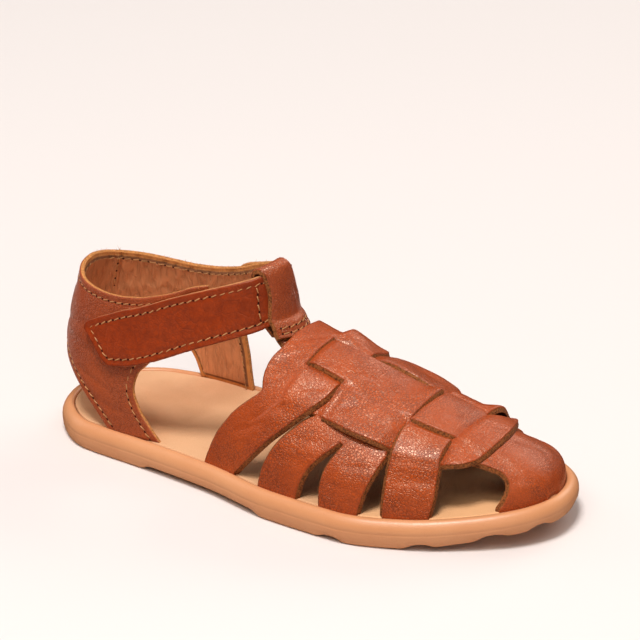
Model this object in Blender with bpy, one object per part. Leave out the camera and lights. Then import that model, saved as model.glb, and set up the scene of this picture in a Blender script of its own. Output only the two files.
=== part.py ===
"""Child's closed-toe sandal for the right foot: a flat sole, an insole and a woven leather upper.

Millimetres until the mesh is made, then metres. The toe points to +X, the inner side to +Y,
and x is measured from the heel end of the sole.
"""

import math

import bmesh
import bpy
import numpy as np

MM = 0.001
SOLE_LENGTH = 200.0
WEAVE_TURN = 0.06  # how far the weave's middle lies outside the ridge line, as a share of the section
GAP = 0.3  # clearance between two pieces

# Sole
RIM_HEIGHT = 9.9
TOE_SPRING = 5.0
SPRING_START = 0.72  # share of the length where the toe begins to rise
SOLE_POINTS = 36  # plan points along each side
LIP_INSET = 4.4
INSOLE_INSET = 4.9
INSOLE_UNDER = 7.7
INSOLE_TOP = 9.6
INSOLE_EDGE = 0.5  # chamfer of the insole's edges
SOLE_FLOOR = 7.3
LUG_DEPTH = 1.9
ARCH_RISE = 2.3
CUTTER_DEPTH = 4.0  # how far a cutter reaches below the ground

# Upper
STRAP_INSET = 6.2  # from the sole's edge to the inside of a strap's foot
WALL = 1.7
RAISE = 1.3  # how far a strip on top stands above the wall
INNER_SHARE = 0.25  # share of the raise that the wall's inside follows
TOE_TIP = 193.6
LAST_SECTION = 191.8  # past it the form keeps this section's directions
FOREFOOT_START = 60.0

# Heel and ankle
ANKLE_MIDDLE = 40.0
ANKLE_POWER = 2.25
QUARTER_WALL = 2.3
STRAP_WALL = 2.0
BAR_WALL = 2.0
BAR_COLUMNS = 9
BAR_ROUND = 0.7
LOOP_ROWS = 8
TAIL_SHARE = 0.92  # width of the tail against the loop's foot
TAIL_ROOT = 0.6  # half the tail's thickness inside the loop

OUTLINE = dict(  # plan of the sole: half widths each side of the x axis
    share=(0.0, 0.04, 0.12, 0.25, 0.40, 0.55, 0.68, 0.80, 0.90, 0.96, 1.0),
    outer=(0.0, 21.0, 30.8, 33.0, 36.4, 42.6, 43.6, 36.8, 25.0, 14.6, -3.6),
    inner=(0.0, 20.4, 29.6, 32.8, 32.0, 34.8, 40.0, 40.2, 35.0, 26.0, 3.6),
)

SOLE_WALL = (  # inset from the outline, height
    (1.6, 0.0),
    (0.7, 0.9),
    (0.1, 3.2),
    (0.0, 5.6),
    (0.5, 7.8),
    (1.6, 9.3),
    (3.0, 9.9),
    (4.2, 9.7),
    (LIP_INSET, 9.0),
    (LIP_INSET + 0.1, SOLE_FLOOR),
)

GROOVES = (  # middle x, middle y, turn in degrees, half length, half width, depth
    (78.0, 0.0, 0.0, 60.0, 25.0, ARCH_RISE),
    (137.0, 0.0, -2.0, 60.0, 2.6, LUG_DEPTH),
    (163.0, 0.0, 3.0, 60.0, 2.2, LUG_DEPTH),
    (182.5, 4.0, 6.0, 50.0, 2.2, LUG_DEPTH),
    (198.5, -8.0, 62.0, 9.0, 2.2, LUG_DEPTH),
    (198.5, 15.0, -62.0, 9.0, 2.2, LUG_DEPTH),
)
GROOVE_FLARE = 0.8  # each groove is wider at the ground

PROFILE = dict(  # ridge of the forefoot form
    x=(60.0, 80.0, 97.0, 112.0, 123.0, 133.0, 159.0, 176.0, 186.0, 191.0, 193.0, 193.6),
    height=(63.0, 56.5, 51.4, 48.6, 45.4, 41.4, 33.3, 28.4, 24.0, 19.6, 16.2, 14.4),
)
LEAST_HEIGHT = 0.5  # of the section at the toe tip
INNER_DROP = dict(  # how far the inner side falls below an even section
    x=(60.0, 100.0, 118.0, 135.0, 150.0, 162.0, 172.0, 182.0, 190.0, 195.6),
    depth=(0.0, 0.0, 1.7, 3.2, 3.9, 4.4, 5.4, 5.0, 3.5, 2.0),
)
MOST_DROP = 0.38  # no more than this share of the section's height
SECTION = dict(  # where the ridge lies, and how square the section is
    x=(60.0, 100.0, 140.0, 170.0, 195.6),
    ridge=(-1.0, -2.0, -1.0, 1.5, 3.0),
    power=(2.0, 2.05, 2.1, 2.2, 2.3),
)

STRAPS = dict(  # edges of the straps at each turn w, from the middle (0) to the sole (1)
    w=(0.0, 0.19, 0.30, 0.45, 0.52, 0.60, 0.70, 0.80, 0.90, 1.0),
    saddle_rear=(98.6, 98.3, 97.3, 98.6, 96.3, 92.2, 87.6, 83.6, 80.4, 77.6),
    saddle_split=(109.0, 109.0, 109.0, 107.5, 105.0, 101.5, 97.0, 92.5, 88.5, 84.0),
    saddle_front=(123.0, 123.0, 122.5, 118.5, 115.5, 112.0, 107.0, 102.3, 97.3, 92.0),
    rear_leg_back=(127.0, 127.0, 126.0, 121.0, 117.6, 114.6, 110.6, 107.4, 105.0, 103.5),
    rear_leg_front=(135.0, 135.0, 135.0, 134.0, 132.8, 130.5, 126.8, 123.4, 121.0, 119.5),
    front_leg_back=(136.2, 136.2, 136.2, 135.4, 134.2, 132.8, 131.0, 129.6, 129.0, 129.0),
    front_leg_front=(146.0, 146.0, 146.0, 147.6, 148.2, 147.3, 146.2, 145.0, 144.0, 143.0),
    toe_strap_rear=(149.0, 149.0, 149.0, 149.5, 150.0, 150.3, 150.7, 151.0, 151.0, 151.0),
    toe_strap_front=(164.0, 164.0, 164.0, 164.3, 165.0, 165.4, 165.8, 166.0, 165.7, 165.0),
    cap_rear=(176.4, 176.0, 176.0, 178.0, 184.6, 185.2, 185.2, 184.6, 183.4, 181.8),
    cap_rear_inner=(176.4, 176.0, 175.0, 171.6, 171.0, 171.2, 172.2, 173.2, 174.0, 174.5),
)
INNER = "_inner"  # ending of a row that holds for the inner side only

STEP = 0.35  # half the run of a step between two strips
LINES = (  # strap edge, shift along x, share of the raise in the middle, in a lane, on a leg
    ("saddle_rear", 0.0, 1.0, 1.0, 1.0),
    ("saddle_split", -5.5, 1.0, 1.0, 1.0),
    ("saddle_split", -STEP, 1.0, 1.0, 1.0),
    ("saddle_split", STEP, 0.3, 1.0, 1.0),
    ("saddle_split", 4.0, 1.0, 1.0, 1.0),
    ("saddle_front", 0.0, 1.0, 1.0, 1.0),
    ("saddle_front", 2 * STEP, 1.0, 0.3, 0.0),
    ("rear_leg_back", 0.0, 1.0, 0.8, 0.0),
    ("rear_leg_front", -7.0, 1.0, 0.8, 0.0),
    ("rear_leg_front", 0.0, 1.0, 0.8, 0.0),
    ("front_leg_back", 0.0, 1.0, 0.8, 0.0),
    ("front_leg_front", -6.5, 1.0, 0.8, 0.0),
    ("front_leg_front", 0.0, 1.0, 0.6, 0.0),
    ("toe_strap_rear", -STEP, 1.0, 0.2, 0.0),
    ("toe_strap_rear", STEP, 0.3, 1.0, 0.9),
    ("toe_strap_rear", 7.0, 0.9, 1.0, 0.9),
    ("toe_strap_front", -STEP, 0.3, 1.0, 0.9),
    ("toe_strap_front", STEP, 1.0, 0.3, 0.0),
    ("toe_strap_front", 6.0, 1.0, 0.9, 0.0),
    ("cap_rear", -STEP, 1.0, 0.9, 0.0),
    ("cap_rear", STEP, 0.0, 0.0, 0.0),
)
CAP_SHARES = (0.22, 0.44, 0.63, 0.79, 0.91, 0.975, 1.0)  # lines from the cap's rear edge to the toe tip

MIDDLE_EDGE = 0.19  # w where the middle strip meets a lane
LANE_EDGE = 0.45  # w where a lane meets the legs
LEG_END = 0.62  # w where a leg has come down to the wall
EDGE_STEP = 0.006
TURNS = (0.0, 0.095, MIDDLE_EDGE - EDGE_STEP, MIDDLE_EDGE + EDGE_STEP, 0.32, LANE_EDGE - EDGE_STEP)
TURNS += (LANE_EDGE + EDGE_STEP, 0.52, 0.60, 0.70, 0.80, 0.90, 1.0)
OPENINGS = (  # line where each side gap begins, line where it ends, w where it starts
    (6, 7, 0.52),
    (9, 10, 0.52),
    (12, 13, LANE_EDGE),
    (17, 20, LANE_EDGE),
)

ANKLE = dict(  # heel and ankle form: inside surface
    z=(10.0, 22.0, 34.0, 46.0, 60.0, 78.0),
    rear=(5.8, 4.2, 3.6, 5.4, 9.0, 11.4),
    half_width=(26.6, 26.2, 24.8, 22.6, 20.0, 18.0),
    front=(98.0, 98.0, 94.0, 90.0, 86.0, 84.0),
)

QUARTER_BAND = {  # heel quarter round the ankle: angle from the rear, lower and upper edge
    "outer": dict(
        turn=(0.0, 14.0, 25.0, 40.0, 55.0, 70.0, 84.0, 92.0, 99.0, 105.0, 112.0, 120.0, 128.0),
        lower=(31.6, 31.3, 30.5, 32.0, 33.6, 35.1, 36.5, 37.3, 38.0, 40.3, 43.0, 46.0, 48.4),
        upper=(61.0, 60.4, 59.6, 58.5, 58.0, 57.8, 58.2, 59.2, 61.0, 62.6, 64.8, 67.2, 68.4),
    ),
    "inner": dict(
        turn=(0.0, 14.0, 25.0, 40.0, 55.0, 70.0, 84.0, 94.0, 107.0, 115.0, 124.0, 134.0, 145.0, 157.0),
        lower=(31.6, 31.3, 30.5, 32.0, 33.6, 35.1, 36.8, 38.2, 41.2, 43.7, 46.6, 49.5, 52.1, 54.4),
        upper=(61.0, 60.2, 59.3, 58.2, 57.2, 56.3, 55.9, 57.0, 60.0, 62.5, 65.4, 68.1, 70.3, 72.0),
    ),
}
LEG_FIRST, LEG_LAST = 2, 8  # columns of the band above a leg
BAND_ROWS = 6
LEG_ROWS = 10
QUARTER_LEG = {  # leg from the band down to the sole, a row per section
    "outer": dict(
        share=(0.0, 0.2, 0.4, 0.6, 0.8, 1.0),
        rear_turn=(25.0, 38.0, 51.0, 63.0, 73.0, 82.0),
        rear_z=(30.5, 27.8, 24.2, 19.8, 15.0, 10.3),
        front_turn=(99.0, 94.2, 93.0, 95.0, 98.5, 103.0),
        front_z=(38.0, 32.5, 27.0, 20.5, 15.0, 10.3),
    ),
    "inner": dict(
        share=(0.0, 0.2, 0.4, 0.6, 0.8, 1.0),
        rear_turn=(25.0, 46.0, 63.0, 74.0, 80.0, 83.5),
        rear_z=(30.5, 28.8, 26.0, 22.0, 16.5, 10.3),
        front_turn=(107.0, 104.0, 103.8, 104.2, 104.8, 105.6),
        front_z=(41.2, 34.0, 27.5, 21.0, 15.0, 10.3),
    ),
}

CLOSING = dict(  # closing strap: angle from the front, inner side positive; lower and upper edge
    turn=(-116.0, -114.5, -112.0, -108.5, -104.5, -100.0, -96.0, -91.0, -82.0, -73.0, -63.0, -50.0,
          -35.0, -22.0, -15.0, -7.5, 0.0, 7.5, 15.0, 22.0, 32.0, 45.0, 60.0, 69.0, 74.0),
    lower=(43.9, 43.2, 42.1, 40.2, 37.8, 35.0, 34.0, 34.7, 37.6, 41.2, 44.9, 48.5,
           51.3, 53.0, 54.0, 54.6, 54.8, 54.8, 54.3, 53.5, 52.0, 49.4, 46.0, 44.1, 46.0),
    upper=(45.0, 46.2, 47.3, 48.6, 50.0, 51.4, 52.7, 54.4, 58.0, 61.6, 64.7, 67.8,
           70.4, 72.0, 72.8, 73.4, 73.6, 73.6, 73.3, 72.7, 71.4, 68.8, 64.4, 61.4, 57.5),
)
CLOSING_ROWS = 5
CLOSING_OFFSET = QUARTER_WALL + GAP

LOOP_LOW, LOOP_HIGH = 52.0, 74.6  # the slot in the bar's loop, which the closing strap passes through
BAR_FRONT = dict(  # front of the loop: height, middle and half of the angle that it covers
    z=(50.0, 54.5, 60.0, 66.0, 73.0, 76.6),
    middle=(-0.5, -1.0, -1.5, -5.8, -12.7, -12.7),
    half=(25.5, 24.0, 21.5, 17.4, 15.2, 15.2),
)
BAR_BACK = dict(  # and its back, behind the closing strap
    z=(50.0, 56.0, 66.0, 76.6),
    middle=(-3.0, -6.0, -9.0, -12.7),
    half=(20.0, 17.0, 16.0, 15.2),
)
BAR_TAIL = (  # the tail under the saddle strap: x, outer and inner edge in y
    (96.2, -10.4, 9.6),
    (98.4, -12.4, 11.2),
    (101.0, -13.4, 12.0),
    (104.5, -13.6, 12.2),
)

LEATHER = (0.42, 0.13, 0.045, 1.0)
STRAP_LEATHER = (0.34, 0.085, 0.02, 1.0)
RUBBER = (0.70, 0.36, 0.18, 1.0)
INSOLE_LEATHER = (0.80, 0.48, 0.27, 1.0)
LEATHER_ROUGHNESS = 0.55
RUBBER_ROUGHNESS = 0.5
INSOLE_ROUGHNESS = 0.65
MERGE_DISTANCE = 2e-6


def curve(table_x, table_y):
    """A smooth curve through the rows of a table that doesn't overshoot them."""
    xs = np.array(table_x, float)
    ys = np.array(table_y, float)
    run = np.diff(xs)
    slope = np.diff(ys) / run
    same = slope[:-1] * slope[1:] > 0
    first = 2 * run[1:] + run[:-1]
    second = run[1:] + 2 * run[:-1]
    with np.errstate(divide="ignore", invalid="ignore"):
        inside = (first + second) / (first / slope[:-1] + second / slope[1:])
    tangent = np.concatenate([slope[:1], np.where(same, inside, 0.0), slope[-1:]])

    def value(x):
        x = np.clip(np.asarray(x, float), xs[0], xs[-1])
        k = np.clip(np.searchsorted(xs, x, side="right") - 1, 0, len(run) - 1)
        t = (x - xs[k]) / run[k]
        rise = ys[k + 1] - ys[k]
        lead = (1 - t) * (tangent[k] * run[k] - rise)
        trail = t * (tangent[k + 1] * run[k] - rise)
        return ys[k] + rise * t + t * (1 - t) * (lead - trail)

    return value


def end_share(share):
    """Spreads a share of the length out near both ends, where the outline turns round."""
    return np.arccos(np.clip(1 - 2 * np.asarray(share, float), -1, 1)) / math.pi


OUTER_SIDE = curve(end_share(OUTLINE["share"]), OUTLINE["outer"])
INNER_SIDE = curve(end_share(OUTLINE["share"]), OUTLINE["inner"])
RIDGE_HEIGHT = curve(PROFILE["x"], PROFILE["height"])
RIDGE = curve(SECTION["x"], SECTION["ridge"])
POWER = curve(SECTION["x"], SECTION["power"])
DROP = curve(INNER_DROP["x"], INNER_DROP["depth"])
EDGES = {name: curve(STRAPS["w"], row) for name, row in STRAPS.items() if name != "w"}
ANKLE_FORM = {name: curve(ANKLE["z"], row) for name, row in ANKLE.items() if name != "z"}
LOOP_FRONT = {name: curve(BAR_FRONT["z"], row) for name, row in BAR_FRONT.items() if name != "z"}
LOOP_BACK = {name: curve(BAR_BACK["z"], row) for name, row in BAR_BACK.items() if name != "z"}


def spring(x):
    """Rise of the ground side towards the toe."""
    ahead = (np.asarray(x) / SOLE_LENGTH - SPRING_START) / (1 - SPRING_START)
    return TOE_SPRING * np.clip(ahead, 0, None) ** 2


def unit(vectors):
    return vectors / np.maximum(np.linalg.norm(vectors, axis=-1, keepdims=True), 1e-9)


def sole_ring(inset, height):
    """The sole's outline moved inwards, as a closed loop seen from above."""
    t = np.linspace(0, 1, SOLE_POINTS + 1)
    x = SOLE_LENGTH * (1 - np.cos(math.pi * t)) / 2
    outer = np.stack([x, -OUTER_SIDE(t)], 1)
    inner = np.stack([x, INNER_SIDE(t)], 1)[::-1]
    loop = np.concatenate([outer, inner[1:-1]])
    along = np.roll(loop, -1, 0) - np.roll(loop, 1, 0)
    loop = loop + unit(np.stack([-along[:, 1], along[:, 0]], 1)) * inset
    return np.column_stack([loop, height + spring(loop[:, 0])])


def lip_half_width(x, side):
    """Half width inside the straps' feet at x."""
    share = np.clip((x - STRAP_INSET) / (SOLE_LENGTH - 2 * STRAP_INSET), 0, 1)
    width = side(end_share(share))
    inset = STRAP_INSET * np.clip(4 * share * (1 - share), 0, 1) ** 0.3
    return np.sign(width) * np.maximum(np.abs(width) - inset, 0)


def forefoot_point(x, w):
    v = w - WEAVE_TURN * (1 - w**2)
    power = 2 / POWER(x)
    foot = RIM_HEIGHT + GAP + spring(x)
    top = np.maximum(RIDGE_HEIGHT(x), foot + LEAST_HEIGHT)
    ridge = RIDGE(x)
    reach = np.where(v < 0, -lip_half_width(x, OUTER_SIDE), lip_half_width(x, INNER_SIDE)) - ridge
    across = np.abs(np.sin(v * math.pi / 2)) ** power
    up = np.abs(np.cos(v * math.pi / 2)) ** power
    drop = np.minimum(DROP(x), MOST_DROP * (top - foot)) * np.sin(np.clip(v, 0, 1) * math.pi) ** 2
    return np.stack([x, ridge + across * reach, foot + (top - foot) * up - drop], -1)


def forefoot(x, w, offset):
    """A point over the forefoot form, at x and turn w (-1 outer foot, 0 middle, 1 inner foot)."""
    x, w = np.broadcast_arrays(np.asarray(x, float), np.asarray(w, float))
    small_x, small_w, most_w = 0.05, 0.002, 0.998
    ahead = np.clip(x, FOREFOOT_START, LAST_SECTION)
    side = np.clip(w, -most_w, most_w)
    along = forefoot_point(ahead + small_x, w) - forefoot_point(ahead - small_x, w)
    across = forefoot_point(ahead, side + small_w) - forefoot_point(ahead, side - small_w)
    normal = unit(np.cross(along, across))
    return forefoot_point(x, w) + normal * np.asarray(offset)[..., None]


def turn_at(x, y):
    """The turn w of the forefoot form over a place in plan."""
    ridge = RIDGE(x)
    reach = np.abs(np.where(y < ridge, -lip_half_width(x, OUTER_SIDE), lip_half_width(x, INNER_SIDE)) - ridge)
    across = np.arcsin((np.abs(y - ridge) / reach) ** (POWER(x) / 2))
    v = np.sign(y - ridge) * across * 2 / math.pi
    return (np.sqrt(1 + 4 * WEAVE_TURN * (v + WEAVE_TURN)) - 1) / (2 * WEAVE_TURN)


def ankle_point(angle, z):
    c, s = np.cos(angle), np.sin(angle)
    power = 2 / ANKLE_POWER
    rearward = ANKLE_MIDDLE - ANKLE_FORM["rear"](z)
    reach = np.where(c < 0, rearward, ANKLE_FORM["front"](z) - ANKLE_MIDDLE)
    x = ANKLE_MIDDLE + reach * np.sign(c) * np.abs(c) ** power
    y = ANKLE_FORM["half_width"](z) * np.sign(s) * np.abs(s) ** power
    return np.stack([x, y, z + 0 * x], -1)


def ankle(degrees, z, offset):
    """A point over the heel and ankle form, at an angle from the front (inner side positive)."""
    angle, z = np.broadcast_arrays(np.radians(np.asarray(degrees, float)), np.asarray(z, float))
    small_angle, small_z = 0.01, 0.3
    round_it = ankle_point(angle + small_angle, z) - ankle_point(angle - small_angle, z)
    upward = ankle_point(angle, z + small_z) - ankle_point(angle, z - small_z)
    return ankle_point(angle, z) + unit(np.cross(round_it, upward)) * offset


def material(name, colour, roughness):
    made = bpy.data.materials.new(name)
    made.use_nodes = True
    shader = made.node_tree.nodes["Principled BSDF"]
    shader.inputs["Base Color"].default_value = colour
    shader.inputs["Roughness"].default_value = roughness
    return made


def solid(name, points, faces, surface):
    """A named object from points in millimetres and faces, merged and turned outwards."""
    mesh = bpy.data.meshes.new(name)
    middle_y = (max(OUTLINE["inner"]) - max(OUTLINE["outer"])) / 2
    centre = np.array([SOLE_LENGTH / 2, middle_y, 0.0])
    mesh.from_pydata(((np.asarray(points) - centre) * MM).tolist(), [], faces)
    work = bmesh.new()
    work.from_mesh(mesh)
    bmesh.ops.remove_doubles(work, verts=work.verts, dist=MERGE_DISTANCE)
    bmesh.ops.triangulate(work, faces=work.faces)
    bmesh.ops.recalc_face_normals(work, faces=work.faces)
    work.to_mesh(mesh)
    work.free()
    mesh.materials.append(surface)
    made = bpy.data.objects.new(name, mesh)
    bpy.context.scene.collection.objects.link(made)
    return made


def shell(name, outer, inner, faces, surface):
    """A wall between two copies of a sheet: outer faces, inner faces, and a strip along every open edge."""
    count = len(outer)
    directed = {(face[k], face[(k + 1) % len(face)]) for face in faces for k in range(len(face))}
    border = [edge for edge in directed if edge[::-1] not in directed]
    walls = [(b, a, a + count, b + count) for a, b in sorted(border)]
    inside = [tuple(count + k for k in reversed(face)) for face in faces]
    return solid(name, np.concatenate([outer, inner]), list(faces) + inside + walls, surface)


def grid_faces(rows, columns, keep=None, first=0):
    """Quads of a grid numbered row by row, leaving out the cells that keep turns down."""
    faces = []
    for i in range(rows - 1):
        for j in range(columns - 1):
            if keep is None or keep(i, j):
                a = first + i * columns + j
                faces.append((a, a + 1, a + columns + 1, a + columns))
    return faces


def stacked_rings(name, rings, surface):
    """A solid from closed loops of equal length, capped at both ends."""
    size = len(rings[0])
    faces = []
    for k in range(len(rings) - 1):
        for i in range(size):
            j = (i + 1) % size
            faces.append((k * size + i, k * size + j, (k + 1) * size + j, (k + 1) * size + i))
    last = (len(rings) - 1) * size
    half = size // 2
    for base in (0, last):
        faces.append((base, base + 1, base + size - 1))
        for i in range(1, half - 1):
            faces.append((base + i, base + i + 1, base + size - i - 1, base + size - i))
        faces.append((base + half - 1, base + half, base + half + 1))
    return solid(name, np.concatenate(rings), faces, surface)


def cut(target, cutter):
    cutter.hide_render = True
    cutter.display_type = "WIRE"
    step = target.modifiers.new(cutter.name, "BOOLEAN")
    step.operation = "DIFFERENCE"
    step.solver = "EXACT"
    step.object = cutter


def join(target, other):
    other.hide_render = True
    other.display_type = "WIRE"
    step = target.modifiers.new(other.name, "BOOLEAN")
    step.operation = "UNION"
    step.solver = "EXACT"
    step.object = other


def groove_cutter(name, row, surface):
    """A channel across the underside that follows the toe's rise."""
    middle_x, middle_y, turn, half_length, half_width, depth = row
    c, s = math.cos(math.radians(turn)), math.sin(math.radians(turn))
    wide = half_width + GROOVE_FLARE
    rings = []
    for half, height in ((wide, -CUTTER_DEPTH), (wide, 0.0), (half_width, depth)):
        ring = []
        for side, end in ((1, -1), (1, 1), (-1, 1), (-1, -1)):
            dx, dy = side * half, end * half_length
            x = middle_x + dx * c - dy * s
            ring.append((x, middle_y + dx * s + dy * c, height + float(spring(middle_x + dx * c))))
        rings.append(np.array(ring))
    return stacked_rings(name, rings, surface)


def build_sole(surface):
    sole = stacked_rings("outsole", [sole_ring(inset, height) for inset, height in SOLE_WALL], surface)
    for k, row in enumerate(GROOVES):
        cut(sole, groove_cutter(f"groove_{k}", row, surface))


def build_insole(surface):
    rings = []
    for more, height in (
        (INSOLE_EDGE, INSOLE_UNDER),
        (0.0, INSOLE_UNDER + INSOLE_EDGE),
        (0.0, INSOLE_TOP - INSOLE_EDGE),
        (2 * INSOLE_EDGE, INSOLE_TOP),
    ):
        rings.append(sole_ring(INSOLE_INSET + more, height))
    stacked_rings("insole", rings, surface)


def edge_at(name, w):
    """Where a strap's edge lies at turn w, from the inner side's own row if there is one."""
    inner = name + INNER
    return float(EDGES[inner if w > 0 and inner in EDGES else name](abs(w)))


def raise_share(row, turn):
    """Share of the raise on one line at |w|: steps at the strip edges, then a leg that comes down."""
    middle, lane, leg = row[2:]
    if turn < MIDDLE_EDGE:
        return middle
    if turn < LANE_EDGE:
        return lane
    return leg * max(0.0, min(1.0, (LEG_END - turn) / (LEG_END - LANE_EDGE)))


def build_upper(surface):
    """The woven forefoot as one wall: strips on top stand proud, and the gaps between the legs are cut."""
    turns = [-t for t in reversed(TURNS[1:])] + list(TURNS)
    xs, ws, shares = [], [], []
    for w in turns:
        line_x = [edge_at(row[0], w) + row[1] for row in LINES]
        cap = line_x[-1]
        line_x += [cap + (TOE_TIP - cap) * share for share in CAP_SHARES]
        xs += line_x
        ws += [w] * len(line_x)
        shares += [raise_share(row, abs(w)) for row in LINES] + [0.0] * len(CAP_SHARES)
    columns = len(LINES) + len(CAP_SHARES)
    xs, ws, shares = np.array(xs), np.array(ws), np.array(shares)
    outer = forefoot(xs, ws, WALL + RAISE * shares)
    inner = forefoot(xs, ws, RAISE * INNER_SHARE * shares)
    tip = np.arange(len(xs)) % columns == columns - 1
    middle = (len(turns) // 2) * columns + columns - 1
    outer[tip] = outer[middle]
    inner[tip] = inner[middle]

    def keep(i, j):
        nearest = min(abs(turns[i]), abs(turns[i + 1]))
        return not any(first <= j < last and nearest >= start for first, last, start in OPENINGS)

    shell("upper_vamp", outer, inner, grid_faces(len(turns), columns, keep), surface)


def quarter_leg(side):
    """One leg's grid of angles and heights, whose first row is the band's lower edge above it."""
    band = QUARTER_BAND[side]
    turn = np.array(band["turn"])[LEG_FIRST : LEG_LAST + 1]
    spread = (turn - turn[0]) / (turn[-1] - turn[0])
    down = np.linspace(0, 1, LEG_ROWS + 1)[:, None]
    table = QUARTER_LEG[side]
    leg = {name: curve(table["share"], row)(down) for name, row in table.items()}
    angle = leg["rear_turn"] + (leg["front_turn"] - leg["rear_turn"]) * spread
    height = leg["rear_z"] + (leg["front_z"] - leg["rear_z"]) * spread
    height[0] = np.array(band["lower"])[LEG_FIRST : LEG_LAST + 1]
    return angle, height


def build_quarter(surface):
    """The heel quarter: a band round the ankle on two slanted legs, open at the back below."""
    edges = {}
    for name in ("turn", "lower", "upper"):
        outer, inner = QUARTER_BAND["outer"][name], QUARTER_BAND["inner"][name]
        hand = -1 if name == "turn" else 1
        edges[name] = np.concatenate([hand * np.array(outer[:0:-1]), inner])
    count = len(edges["turn"])
    share = np.linspace(0, 1, BAND_ROWS + 1)[:, None]
    angles = [np.broadcast_to(edges["turn"], (BAND_ROWS + 1, count)).ravel()]
    heights = [(edges["lower"] + (edges["upper"] - edges["lower"]) * share).ravel()]
    faces = grid_faces(BAND_ROWS + 1, count)
    first = len(angles[0])
    for side, hand in (("inner", 1), ("outer", -1)):
        angle, height = quarter_leg(side)
        quads = grid_faces(*angle.shape, first=first)
        faces += [face[::-hand] for face in quads]
        angles.append(hand * angle.ravel())
        heights.append(height.ravel())
        first += angle.size
    angles = 180.0 - np.concatenate(angles)
    heights = np.concatenate(heights)
    places, index = {}, []
    for k, (a, z) in enumerate(zip(angles, heights)):
        index.append(places.setdefault((round(a, 4), round(z, 4)), k))
    used = sorted({index[k] for face in faces for k in face})
    number = {k: n for n, k in enumerate(used)}
    faces = [tuple(number[index[k]] for k in face) for face in faces]
    angles, heights = angles[used], heights[used]
    outside = ankle(angles, heights, QUARTER_WALL)
    shell("heel_quarter", outside, ankle(angles, heights, 0.0), faces, surface)


def build_closing_strap(surface):
    turn = np.array(CLOSING["turn"], float)
    share = np.linspace(0, 1, CLOSING_ROWS)[:, None]
    lower, upper = np.array(CLOSING["lower"]), np.array(CLOSING["upper"])
    heights = (lower + (upper - lower) * share).ravel()
    angles = np.broadcast_to(turn, (CLOSING_ROWS, len(turn))).ravel()
    faces = grid_faces(CLOSING_ROWS, len(turn))
    outer = ankle(angles, heights, CLOSING_OFFSET + STRAP_WALL)
    shell("closing_strap", outer, ankle(angles, heights, CLOSING_OFFSET), faces, surface)


def loop_side(side, share, z, offset):
    """Points of one side of the loop, at a share of its half width and a row of heights."""
    return ankle(side["middle"](z) + side["half"](z) * share, z, offset)


def loop_section(share):
    """The loop at one share of its half width: the slot round the closing strap, and the skin round it."""
    inside = np.linspace(LOOP_LOW, LOOP_HIGH, LOOP_ROWS)
    outside = np.linspace(LOOP_LOW - BAR_WALL, LOOP_HIGH + BAR_WALL, LOOP_ROWS)
    front, back = CLOSING_OFFSET + STRAP_WALL + GAP, CLOSING_OFFSET - GAP
    rounded = np.zeros((LOOP_ROWS, 1))
    rounded[0] = rounded[-1] = BAR_ROUND
    slot = [loop_side(LOOP_FRONT, share, inside, front), loop_side(LOOP_BACK, share, inside, back)[::-1]]
    over = loop_side(LOOP_FRONT, share, outside, front + BAR_WALL - rounded)
    under = loop_side(LOOP_BACK, share, outside, back - BAR_WALL + rounded)
    return np.concatenate(slot), np.concatenate([over, under[::-1]])


def tail_profile(share, root):
    """The tail along one line, from inside the loop's foot to its end below the saddle strap."""
    rows = np.array(BAR_TAIL)
    x, outer, inner = rows.T
    w = turn_at(x, (outer + inner) / 2 + (inner - outer) / 2 * share)
    rise = np.array([0.0, 0.0, TAIL_ROOT])
    top = np.concatenate([[root + rise], forefoot(x, w, -GAP)])
    under = np.concatenate([[root - rise], forefoot(x, w, -GAP - BAR_WALL)])
    return np.concatenate([top, under[::-1]])


def build_bar(surface):
    """The bar: a loop folded round the closing strap, and a tail that passes under the saddle strap."""
    shares = np.linspace(-1, 1, BAR_COLUMNS)
    sections = [loop_section(share) for share in shares]
    points = np.concatenate([skin for _, skin in sections] + [slot for slot, _ in sections])
    size = 2 * LOOP_ROWS
    inner = BAR_COLUMNS * size
    faces = []
    for k in range(BAR_COLUMNS):
        for i in range(size):
            j = (i + 1) % size
            a, b = k * size, (k + 1) * size
            if k < BAR_COLUMNS - 1:
                faces.append((a + i, a + j, b + j, b + i))
                faces.append((inner + b + i, inner + b + j, inner + a + j, inner + a + i))
            if k in (0, BAR_COLUMNS - 1):
                faces.append((a + i, inner + a + i, inner + a + j, a + j)[:: 1 if k == 0 else -1])
    loop = solid("t_bar", points, faces, surface)
    rings = []
    for share in shares:
        slot, skin = loop_section(share * TAIL_SHARE)
        rings.append(tail_profile(share, (slot[0] + skin[0]) / 2))
    join(loop, stacked_rings("bar_tail", rings, surface))


def main():
    for obj in list(bpy.data.objects):
        bpy.data.objects.remove(obj, do_unlink=True)
    leather = material("leather", LEATHER, LEATHER_ROUGHNESS)
    build_sole(material("rubber", RUBBER, RUBBER_ROUGHNESS))
    build_insole(material("insole_leather", INSOLE_LEATHER, INSOLE_ROUGHNESS))
    build_upper(leather)
    build_quarter(material("quarter_leather", LEATHER, LEATHER_ROUGHNESS))
    build_closing_strap(material("strap_leather", STRAP_LEATHER, LEATHER_ROUGHNESS))
    build_bar(material("bar_leather", LEATHER, LEATHER_ROUGHNESS))


main()
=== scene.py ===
"""Dresses a child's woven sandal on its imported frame: leather straps, stitching, insole, sole.

Millimetres until a mesh is made, then metres. The toe points to +X, the inner side to +Y,
and x is measured from the heel end of the sole.
"""

import math

import bmesh
import bpy
import numpy as np
from bpy.props import FloatProperty, FloatVectorProperty, PointerProperty
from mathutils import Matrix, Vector, kdtree, noise


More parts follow.
